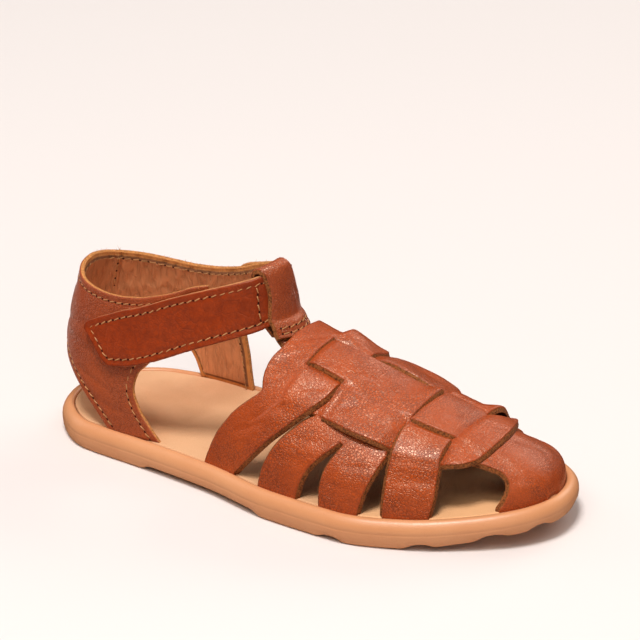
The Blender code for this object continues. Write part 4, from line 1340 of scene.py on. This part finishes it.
def build_panel():
    """The woven panel: a middle strip and two lanes, joined, with a window for the toe strap."""
    step, over = mesh_step(), layer()
    inner, outer = MIDDLE_EDGES
    w = across_turns((-LANE_EDGE, -0.40, -outer, -inner, inner, outer, 0.40, LANE_EDGE))
    _, tail_end, cut_end, window_start, window_end = PANEL_STOPS
    fixed = spans(PANEL_STOPS, step)
    last = spans((0.0, 1.0), step, scale=12.0)
    front = np.where(w < 0, PANEL_FRONT(np.abs(w)), PANEL_INNER_FRONT(np.abs(w)))
    ahead = window_end + (front[:, None] - window_end) * last[1:]
    x = np.concatenate([np.broadcast_to(fixed, (len(w), len(fixed))), ahead], 1)
    line = np.broadcast_to(w[:, None], x.shape)
    strip = x < window_start + 0.5
    cut_at = MIDDLE_CUT(x)
    lane_share = (LANE_EDGE - cut_at - outer + inner) / (LANE_EDGE - outer)
    turn = np.where(line > 0, line * cut_at / inner, line)
    turn = np.where(line > inner, cut_at + (line - inner), turn)
    turn = np.where(line > outer, LANE_EDGE - (LANE_EDGE - line) * lane_share, turn)
    turn = turn * (1 + LANE_SPREAD * ease(x, 150.0, 163.0) * ease(np.abs(line), 0.25, LANE_EDGE))
    away = np.abs(line)
    # Middle strip: up through the slit, over the saddle's front half, its inner corner curled
    middle = 0.15 + over * ease(x, 107.0, 112.5)
    middle = middle - 0.6 * ease(x, 122.0, 132.0) + 0.8 * ease(x, 138.0, 148.0)
    middle = middle + 1.3 * ease(x, 143.0, 149.0) * ease(line, -0.12, inner) * strip
    middle = middle - 0.2 * hump(x, 135.0, 13.0) * ease(line, 0.04, inner) * strip
    # Lanes: over the side straps, under the toe strap, over the toe cap, with lifted outer edges
    lane = 0.1 + over * (ease(x, 121.5, 128.0) - ease(x, 144.5, 150.0) + ease(x, 162.0, 167.5))
    lift = hump(x, 137.0, 17.0) + 0.8 * ease(x, 164.0, 169.0)
    lane = lane + 1.7 * ease(away, 0.31, LANE_EDGE) * lift
    lane = lane + 0.35 * hump(line, 0.2, 0.16) * hump(x, 137.0, 14.0)
    middle = middle + (lane - middle) * ease(x, 150.0, 164.0)
    part = ease(away, 0.15, 0.23) * ease(x, 123.0, 126.0)
    cut = (x < cut_end + 0.1) | (line > 0) & strip
    part = np.where(cut, away > (inner + outer) / 2, part)
    under = middle + (lane - middle) * part
    cells_w, cells_x = np.meshgrid(between(w), between(x[0]), indexing="ij")
    away = np.abs(cells_w)
    lane_tail = (away > outer) & (cells_x < tail_end)
    cut_line = (away > inner) & (away < outer)
    cut_line = cut_line & (cells_x < np.where(cells_w > 0, window_start, cut_end))
    window = (cells_x > window_start) & (cells_x < window_end) & (away < (inner + outer) / 2)
    strap_piece("woven_panel", x, turn, under, 2.0, ~(lane_tail | cut_line | window))


def build_side_straps():
    """A two-legged strap on each side, its top under a lane of the panel."""
    blocks = (  # from edge, to edge, about how wide
        ("rear_leg_back", "rear_leg_front", 15.0),
        ("rear_leg_front", "front_leg_back", 2.0),
        ("front_leg_back", "front_leg_front", 15.0),
    )
    for name, hand in (("side_strap_outer", -1), ("side_strap_inner", 1)):
        w = across_turns((SIDE_TOP, LEG_SPLIT, FOOT_TURN))
        x, slit = [], []
        for k, (first, second, width) in enumerate(blocks):
            share = spans((0.0, 1.0), mesh_step(), scale=width)
            share = share if k == 0 else share[1:]
            low, high = EDGES[first](w)[:, None], EDGES[second](w)[:, None]
            x.append(low + (high - low) * share)
            slit += [k == 1] * len(share)
        x = np.concatenate(x, 1)
        turn = np.broadcast_to(hand * w[:, None], x.shape)
        under = 0.05 + 0.5 * hump(np.abs(turn), 0.72, 0.2)
        cells_w, in_slit = np.meshgrid(between(w), np.array(slit[1:]), indexing="ij")
        keep = ~((cells_w > LEG_SPLIT) & in_slit)
        strap_piece(name, x, turn, under, 3.0 + hand, keep)


def build_toe_strap():
    """The strap across the toes: over the lanes, under the tongue, its front edge curled up."""
    w = across_turns((-FOOT_TURN, FOOT_TURN), TOE_STRAP_SCALE)
    c = spans((0.0, 1.0), mesh_step(), scale=15.0)
    share, turn = np.meshgrid(c, w)
    away = np.abs(turn)
    rear, front = EDGES["toe_strap_rear"](away), EDGES["toe_strap_front"](away)
    x = rear + (front - rear) * share
    under = 0.1 + layer() * (ease(away, 0.17, 0.26) - ease(away, 0.46, 0.66))
    under = under + 2.6 * ease(share, 0.35, 1.0) ** 2 * hump(turn, 0.36, 0.17)
    under = under + 0.5 * ease(share, 0.6, 1.0) * hump(turn, -0.36, 0.16)
    strap_piece("toe_strap", x, turn, under, 5.0)


def build_toe_cap():
    """The toe cap and its tongue, which runs back over the toe strap and under the panel."""
    stops = (TONGUE_EDGE, CAP_EDGE["w"][1], CAP_EDGE["w"][4], FOOT_TURN)
    w = across_turns((*(-stop for stop in reversed(stops)), *stops), CAP_SCALE)
    rear = np.where(w < 0, CAP_REAR(np.abs(w)), CAP_INNER_REAR(np.abs(w)))[:, None]
    tongue = spans((0.0, 1.0), mesh_step(), scale=25.0)
    cap = spans((0.0, 1.0), mesh_step(), scale=26.0)
    cap = np.sin(cap * math.pi / 2) ** 0.9  # closer lines where the cap turns down
    parts = [
        TONGUE_START + (rear - TONGUE_START) * tongue,
        rear + (TOE_TIP - rear) * cap[1:],
        TOE_TIP + TOE_SKIRT * np.array([0.25, 0.6, 1.0]) + 0 * rear,
    ]
    x = np.concatenate(parts, 1)
    turn = np.broadcast_to(w[:, None], x.shape)
    tongue_height = 0.1 + layer() * (ease(x, 146.0, 150.5) - ease(x, 162.5, 168.0))
    under = np.where(np.abs(turn) < TONGUE_EDGE + 0.01, np.maximum(tongue_height, 0.05), 0.05)
    cells_w, cells_k = np.meshgrid(between(w), np.arange(x.shape[1] - 1), indexing="ij")
    keep = (np.abs(cells_w) < TONGUE_EDGE) | (cells_k >= len(tongue) - 1)
    opening = np.linspace(-0.36, -1.0, 60)
    opening = np.stack([CAP_REAR(-opening), opening], 1)
    surface = raw_side("collar_edge")
    loose_fibres("toe_cap_fibres", forefoot, opening, 1.0, surface, 12, CAP_FIBRE_LENGTH)
    strap_piece("toe_cap", x, turn, under, 6.0, keep, "cap_grain")


def from_rear(turn, z, offset):
    """The ankle form with angles from the rear, inner side positive."""
    return ankle(180.0 - np.asarray(turn), z, offset)


def quarter_forms(side):
    """Curves of one side of the heel quarter: the band's edges round it, the leg's down it."""
    band, leg = QUARTER_BAND[side], QUARTER_LEG[side]
    found = {name: curve(band["turn"], band[name]) for name in ("lower", "upper")}
    found.update({name: curve(leg["share"], row) for name, row in leg.items() if name != "share"})
    return found


def build_quarter():
    """The heel quarter: a lined band round the ankle on two slanted legs, sewn along its edges."""
    sizes = bpy.context.scene.sandal_sizes
    thick, inset = sizes.quarter_leather / MM, sizes.stitch_inset / MM
    parts, keeps, seams = [], [], []
    rear_line, top_line = [], []
    for side, hand in (("outer", -1), ("inner", 1)):
        form = quarter_forms(side)
        first, last = QUARTER_LEG[side]["rear_turn"][0], QUARTER_LEG[side]["front_turn"][0]
        end = QUARTER_BAND[side]["turn"][-1]
        column = spans((0.0, first, last, end), mesh_step() * 1.1, scale=0.55)
        lower, upper = form["lower"](column), form["upper"](column)
        share = spans((0.0, 1.0), mesh_step(), scale=25.0)[:, None]
        down = np.linspace(1, 0, LEG_ROWS)[:-1, None]
        spread = np.clip((column - first) / (last - first), 0, 1)

        def on_leg_line(key, way):
            rear, front = form["rear_" + key](way), form["front_" + key](way)
            return rear + (front - rear) * spread

        leg_turn = on_leg_line("turn", down)
        leg_z = on_leg_line("z", down) + (lower - on_leg_line("z", 0)) * (1 - down)
        turn = np.concatenate([leg_turn, np.broadcast_to(column, (len(share), len(column)))])
        z = np.concatenate([leg_z, lower + (upper - lower) * share])
        middle = between(column)
        on_leg = (middle > first) & (middle < last)
        keep = on_leg | (np.arange(len(z) - 1)[:, None] >= len(down))
        parts.append((hand * turn[:, ::hand], z[:, ::hand]))
        keeps.append(keep[:, ::hand])
        way = np.linspace(1, 0, 40)
        edge = np.linspace(last, end - SEAM_END, 30)
        leg_front, leg_rear = (
            np.stack([hand * form[name + "_turn"](way), form[name + "_z"](way)], 1)[:-1]
            for name in ("front", "rear")
        )
        front = np.concatenate([leg_front, np.stack([hand * edge, form["lower"](edge)], 1)])
        seams.append(inset_line(from_rear, front, hand * inset, thick))
        rear_line.append(leg_rear[::-hand])
        edge = np.linspace(0.0, end - SEAM_END, 60)
        top_line.append(np.stack([hand * edge, form["upper"](edge)], 1)[::hand])
    heel = [QUARTER_LEG[side]["rear_turn"][0] for side in ("outer", "inner")]
    heel = np.linspace(-heel[0], heel[1], 40)
    heel = np.stack([heel, quarter_forms("outer")["lower"](np.abs(heel))], 1)
    rear = np.concatenate([rear_line[0], heel, rear_line[1]])
    top = np.concatenate([top_line[0], top_line[1][1:]])
    seams += [inset_line(from_rear, rear, inset, thick), inset_line(from_rear, top, -inset, thick)]

    turn = np.concatenate([parts[0][0], parts[1][0][:, 1:]], 1)
    z = np.concatenate([parts[0][1], parts[1][1][:, 1:]], 1)
    keep = np.concatenate(keeps, 1)
    seam = np.array(LINING_SEAM)
    inside = lines_of(LINING_CREASES) + [(seam, LINING_SEAM_DEPTH, LINING_SEAM_WIDTH)]
    made = leather_sheet(
        "heel_quarter_leather",
        from_rear,
        turn,
        z,
        0.0,
        thick,
        [grain_side("quarter_grain"), raw_side("collar_edge"), raw_side("lining")],
        keep,
        seams,
        lines_of(QUARTER_CREASES),
        inside,
        step_in=LINING_STEP,
        seed=7.0,
    )
    rows = sewn_rows(from_rear, seams, (thick - SEAM_DEPTH, 1), (LINING_STITCH, -1))
    lining_row = np.linspace(seam[0], seam[-1] - (0.0, 2.0), 30) - (LINING_ROW, 0.0)
    rows += sewn_rows(from_rear, [lining_row], (LINING_STITCH, -1))
    surface = raw_side("collar_edge")
    loose_fibres("collar_fibres", from_rear, top, thick / 2, surface, 11, FIBRE_LENGTH)
    return made, rows


def build_closing_strap():
    """The closing strap, sewn round its edge: through the bar's loop and down on the outer side."""
    sizes = bpy.context.scene.sandal_sizes
    thick = sizes.strap_leather / MM
    first, last = CLOSING["turn"][0], CLOSING["turn"][-1]
    column = spans((first, last), mesh_step(), scale=0.72)
    share = spans((0.0, 1.0), mesh_step(), scale=19.0)
    turn, part = np.meshgrid(column, share)
    z = CLOSING_LOWER(turn) + (CLOSING_UPPER(turn) - CLOSING_LOWER(turn)) * part
    under = CLOSING_OFFSET + 0.35 * hump(turn, first, 16.0)
    edge = first + (last - 4.0 - first) * np.linspace(1, 0, 240) ** 1.6
    around = np.concatenate(
        [np.stack([edge, CLOSING_UPPER(edge)], 1), np.stack([edge, CLOSING_LOWER(edge)], 1)[::-1]]
    )
    row = inset_line(ankle, around, sizes.stitch_inset / MM, CLOSING_OFFSET + thick)
    cross = np.stack([np.full(12, -21.5), np.linspace(56.5, 69.2, 12)], 1)
    made = leather_sheet(
        "closing_strap_leather",
        ankle,
        turn,
        z,
        under,
        thick,
        [grain_side("strap_grain"), raw_side("strap_edge"), raw_side("lining")],
        None,
        [row, cross],
        seed=8.0,
    )
    return made, sewn_rows(ankle, [row, cross], (CLOSING_OFFSET + thick - SEAM_DEPTH, 1))


def bar_path():
    """Middle line of the bar's leather in x and z: up, over the closing strap and down behind."""
    front = [(float(ANKLE_FORM["front"](z)) + BAR_FRONT, z) for z in BAR_HEIGHTS]
    back = [(float(ANKLE_FORM["front"](z)) + BAR_BACK, z) for z in reversed(BAR_HEIGHTS)]
    before, behind = front[-1][0], back[0][0]
    shoulder = BAR_TOP - FOLD_DROP
    over = [
        (before - FOLD_RUN, shoulder),
        ((before + behind) / 2, BAR_TOP),
        (behind + FOLD_RUN, shoulder),
    ]
    return [*BAR_FOOT, *front, *over, *back, BAR_END]


def bar_place(path, share, middle, half):
    """A strip along a path in x and z: its place function and its length."""
    path = np.array(path, float)
    run = np.concatenate([[0], np.cumsum(np.linalg.norm(np.diff(path, axis=0), axis=1))])
    line_x, line_z = curve(run, path[:, 0]), curve(run, path[:, 1])
    middle, half = curve(share, middle), curve(share, half)

    def place(along, across, offset):
        along, across = np.broadcast_arrays(np.asarray(along, float), np.asarray(across, float))
        small = 0.4
        step_x = line_x(along + small) - line_x(along - small)
        step_z = line_z(along + small) - line_z(along - small)
        normal = unit(np.stack([step_z, -step_x], -1))
        offset = np.asarray(offset) - BAR_WALL / 2
        turn = np.radians(middle(along / run[-1]) + half(along / run[-1]) * across)
        level = np.full(along.shape, BAR_LEVEL)
        bend = ankle_point(turn, level) - ankle_point(0 * turn, level)
        x = line_x(along) + normal[..., 0] * offset + bend[..., 0]
        z = line_z(along) + normal[..., 1] * offset
        lean = CLOSING_UPPER(np.degrees(turn)) - CLOSING_UPPER(0.0)
        return np.stack([x, bend[..., 1], z + lean * ease(z, *BAR_LEAN)], -1)

    return place, run[-1]


def build_bar():
    """The bar: a strip folded round the closing strap, sewn on a tail under the saddle strap."""
    pieces, rows = [], []
    for name, path, turns, seam_places, creases in (
        ("t_bar_loop", bar_path(), BAR_TURN, BAR_SEAMS, lines_of(BAR_CREASES)),
        ("t_bar_tail", BAR_TAIL, TAIL_TURN, (), ()),
    ):
        place, total = bar_place(path, **turns)
        along = spans((0.0, total), mesh_step())
        across = spans((-1.0, 1.0), mesh_step(), scale=7.0)
        v, u = np.meshgrid(across, along)
        reach = np.linspace(-BAR_SEAM_REACH, BAR_SEAM_REACH, 12)
        seams = [np.stack([np.full(12, at), reach], 1) for at in seam_places]
        made = leather_sheet(
            name,
            place,
            u,
            v,
            0.0,
            BAR_WALL,
            woven("quarter_grain"),
            None,
            seams,
            creases,
            bevel=BAR_BEVEL,
            seed=9.0 + len(pieces),
        )
        pieces.append(made)
        rows += sewn_rows(place, seams, (BAR_WALL - SEAM_DEPTH, 1))
    return pieces[0], rows


def sole_sides(inset, height):
    """Both sides of the sole's outline, from the heel to the toe."""
    t = np.linspace(0, 1, SOLE_POINTS + 1)
    return [sole_side(t, side, inset, height) for side in (OUTER_SIDE, INNER_SIDE)]


def sole_grid(inset, height):
    """A sheet across the sole, from the outer to the inner side, over the whole length."""
    outer, inner = sole_sides(inset, height)
    share = (1 - np.cos(np.linspace(0, math.pi, SOLE_ACROSS + 1))) / 2
    return outer[:, None] + (inner - outer)[:, None] * share[:, None]


def sole_loop(inset, height):
    """The sole's outline as one closed line."""
    outer, inner = sole_sides(inset, height)
    return np.concatenate([outer, inner[-2:0:-1]])


def sheet_faces(rows, columns, first):
    number = first + np.arange(rows * columns).reshape(rows, columns)
    corners = [number[:-1, :-1], number[1:, :-1], number[1:, 1:], number[:-1, 1:]]
    return np.stack(corners, -1).reshape(-1, 4)


def sole_piece(name, rings, lids, surface):
    """A piece from lines round the sole and its lids, each a sheet and its way up, 1 or -1."""
    size = len(rings[0])
    number = np.arange(len(rings) * size).reshape(len(rings), size)
    after = np.roll(number, -1, 1)
    faces = [np.stack([number[:-1], after[:-1], after[1:], number[1:]], -1).reshape(-1, 4)]
    first = number.size
    for lid, way in lids:
        faces.append(sheet_faces(*lid.shape[:2], first)[:, ::way])
        first += lid[..., 0].size
    points = np.concatenate([*rings, *(lid.reshape(-1, 3) for lid, _ in lids)])
    return add_object(name, points, np.concatenate(faces), [surface])


def build_insole():
    """The insole: a thin leather-covered bed with rounded edges and a shallow heel seat."""
    edge = (  # inset and height of each line round it
        (0.5, INSOLE_UNDER),
        (0.0, INSOLE_UNDER + 0.5),
        (0.0, INSOLE_TOP - 0.55),
        (0.18, INSOLE_TOP - 0.2),
        (0.5, INSOLE_TOP),
    )
    rings = [sole_loop(INSOLE_INSET + more, height) for more, height in edge]
    top = sole_grid(INSOLE_INSET + 0.5, INSOLE_TOP)
    across = (1 - np.cos(np.linspace(0, 2 * math.pi, SOLE_ACROSS + 1))) / 2
    seat = 0.5 * hump(top[..., 0], 30.0, 38.0) + 0.25 * hump(top[..., 0], 140.0, 45.0)
    top[..., 2] -= seat * across
    under = sole_grid(INSOLE_INSET + 0.5, INSOLE_UNDER)
    return sole_piece("insole_bed", rings, ((top, 1), (under, -1)), insole_leather())


def groove_depth(x, y):
    """Depth of the channels in the underside at a place in plan."""
    deepest = np.zeros_like(x)
    for middle_x, middle_y, turn, half_length, half_width, depth in GROOVES:
        c, s = math.cos(math.radians(turn)), math.sin(math.radians(turn))
        across = (x - middle_x) * c + (y - middle_y) * s
        along = -(x - middle_x) * s + (y - middle_y) * c
        share = 1 - ease(np.abs(across), half_width - 1.2, half_width + GROOVE_FLARE)
        share = share * (1 - ease(np.abs(along), half_length - 1, half_length + 1))
        deepest = np.maximum(deepest, depth * share)
    return deepest


def tread_depth(x, y):
    """Depth of the fine tread: slanted rows of shallow ripples."""
    rows = 0.5 + 0.5 * np.sin((x + 0.25 * np.abs(y)) * 2 * math.pi / TREAD_PITCH)
    return TREAD_DEPTH * ease(rows, 0.55, 0.95)


def toe_thinning(x, height):
    """Rise of the sole's underside and lower wall at the toe."""
    return TOE_THIN * ease(x, 158.0, 190.0) * np.clip(1 - height / 5.2, 0, 1)


def build_outsole():
    """The sole: a rounded wall with a lip, lugs under it, and a fine tread."""
    rings = []
    for inset, height, share in SOLE_WALL:
        ring = sole_loop(inset, height)
        ring[:, 2] += share * groove_depth(ring[:, 0], ring[:, 1])
        ring[:, 2] += toe_thinning(ring[:, 0], height)
        rings.append(ring)
    under = sole_grid(SOLE_WALL[0][0], SOLE_WALL[0][1])
    under[..., 2] += toe_thinning(under[..., 0], SOLE_WALL[0][1])
    outer, inner = under[:, :1, 1], under[:, -1:, 1]
    margin = np.minimum(under[..., 1] - outer, inner - under[..., 1])
    edge_share = SOLE_WALL[0][2]
    grooves = groove_depth(under[..., 0], under[..., 1])
    under[..., 2] += grooves * (edge_share + (1 - edge_share) * ease(margin, 0.0, 6.0))
    flat = (grooves < 0.05) * ease(margin, 3.0, 5.0)
    under[..., 2] += flat * tread_depth(under[..., 0], under[..., 1])
    floor = sole_grid(SOLE_WALL[-1][0], SOLE_WALL[-1][1])
    return sole_piece("sole_rubber", rings, ((under, -1), (floor, 1)), gum_rubber())


def build_stage():
    """Pale floor, soft light from above, and the camera."""
    scene = bpy.context.scene
    mesh = bpy.data.meshes.new("studio_floor")
    corners = ((-1, -1), (1, -1), (1, 1), (-1, 1))
    corners = [(x * FLOOR_REACH, y * FLOOR_REACH, 0) for x, y in corners]
    mesh.from_pydata(corners, [], [(0, 1, 2, 3)])
    mesh.materials.append(floor_material())
    floor = bpy.data.objects.new("studio_floor", mesh)
    scene.collection.objects.link(floor)
    floor.visible_glossy = False

    world = bpy.data.worlds.new("studio")
    scene.world = world
    world.use_nodes = True
    nodes = Nodes(world.node_tree)
    way = nodes.add("ShaderNodeTexCoord").outputs["Generated"]
    height = nodes.add("ShaderNodeSeparateXYZ", {0: way}).outputs["Z"]
    background = world.node_tree.nodes["Background"]
    background.inputs["Color"].default_value = SKY_COLOUR
    strength = nodes.range(height, *DOME_EDGE, 0.0, WORLD_LIGHT)
    nodes.link(strength, background.inputs["Strength"])
    for name, place, width, height, power, tint in LIGHTS:
        light = bpy.data.lights.new(name, "AREA")
        light.shape = "ELLIPSE"
        light.size = width
        light.size_y = height
        light.energy = power
        light.color = tint
        lamp = bpy.data.objects.new(name, light)
        lamp.location = place
        aim = Vector(LIGHT_AIM) - lamp.location
        lamp.rotation_euler = aim.to_track_quat("-Z", "Y").to_euler()
        scene.collection.objects.link(lamp)

    turn, tilt = math.radians(CAMERA_TURN), math.radians(CAMERA_TILT)
    ground = math.cos(tilt)
    back = Vector((math.sin(turn) * ground, -math.cos(turn) * ground, math.sin(tilt)))
    lens = bpy.data.cameras.new("photo_camera")
    lens.sensor_width = CAMERA_SENSOR
    lens.lens = CAMERA_LENS
    lens.clip_end = CAMERA_END
    camera = bpy.data.objects.new("photo_camera", lens)
    camera.location = Vector(CAMERA_TARGET) + back * CAMERA_DISTANCE
    camera.rotation_euler = (-back).to_track_quat("-Z", "Y").to_euler()
    scene.collection.objects.link(camera)
    scene.camera = camera
    scene.view_settings.view_transform = "Standard"


class SANDAL_OT_outsole(bpy.types.Operator):
    """Builds the rubber sole."""

    bl_idname = "sandal.outsole"
    bl_label = "Outsole"

    def execute(self, context):
        made = build_outsole()
        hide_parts("outsole")
        return {"FINISHED"}


class SANDAL_OT_insole(bpy.types.Operator):
    """Builds the insole."""

    bl_idname = "sandal.insole"
    bl_label = "Insole"

    def execute(self, context):
        made = build_insole()
        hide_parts("insole")
        return {"FINISHED"}


class SANDAL_OT_weave(bpy.types.Operator):
    """Builds the straps of the woven upper and the toe cap."""

    bl_idname = "sandal.weave"
    bl_label = "Woven Upper"

    def execute(self, context):
        saddle = build_saddle()
        for build in (build_panel, build_side_straps, build_toe_strap, build_toe_cap):
            build()
        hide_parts("upper_vamp")
        return {"FINISHED"}


class SANDAL_OT_ankle(bpy.types.Operator):
    """Builds the heel quarter, the closing strap and the bar with their stitches."""

    bl_idname = "sandal.ankle"
    bl_label = "Heel and Ankle"

    def execute(self, context):
        rows = []
        for build, node, finish in (
            (build_quarter, "heel_quarter", "upper_leather"),
            (build_closing_strap, "closing_strap", "strap_leather"),
            (build_bar, "t_bar", "upper_leather"),
        ):
            made, sewn = build()
            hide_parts(node)
            rows += sewn
        stitches("stitching", rows)
        return {"FINISHED"}


class SANDAL_OT_stage(bpy.types.Operator):
    """Sets the floor, the lights and the camera."""

    bl_idname = "sandal.stage"
    bl_label = "Stage"

    def execute(self, context):
        build_stage()
        return {"FINISHED"}


OPERATORS = (SANDAL_OT_stage, SANDAL_OT_outsole, SANDAL_OT_insole, SANDAL_OT_weave, SANDAL_OT_ankle)


class SANDAL_PT_build(bpy.types.Panel):
    """Sizes, colours and build steps of the sandal."""

    bl_idname = "SANDAL_PT_build"
    bl_label = "Woven Sandal"
    bl_space_type = "VIEW_3D"
    bl_region_type = "UI"
    bl_category = "Sandal"

    def draw(self, context):
        for values in (context.scene.sandal_sizes, context.scene.sandal_colours):
            box = self.layout.box()
            for key in values.bl_rna.properties.keys():
                if key not in ("rna_type", "name"):
                    box.prop(values, key)
        for operator in OPERATORS:
            self.layout.operator(operator.bl_idname)


CLASSES = (SandalSizes, SandalColours, *OPERATORS, SANDAL_PT_build)


def register():
    for cls in CLASSES:
        bpy.utils.register_class(cls)
    bpy.types.Scene.sandal_sizes = PointerProperty(type=SandalSizes)
    bpy.types.Scene.sandal_colours = PointerProperty(type=SandalColours)


def unregister():
    del bpy.types.Scene.sandal_colours
    del bpy.types.Scene.sandal_sizes
    for cls in reversed(CLASSES):
        bpy.utils.unregister_class(cls)


def main():
    register()
    bpy.ops.sandal.stage()
    bpy.ops.sandal.outsole()
    bpy.ops.sandal.insole()
    bpy.ops.sandal.weave()
    bpy.ops.sandal.ankle()


if __name__ == "__main__":
    main()
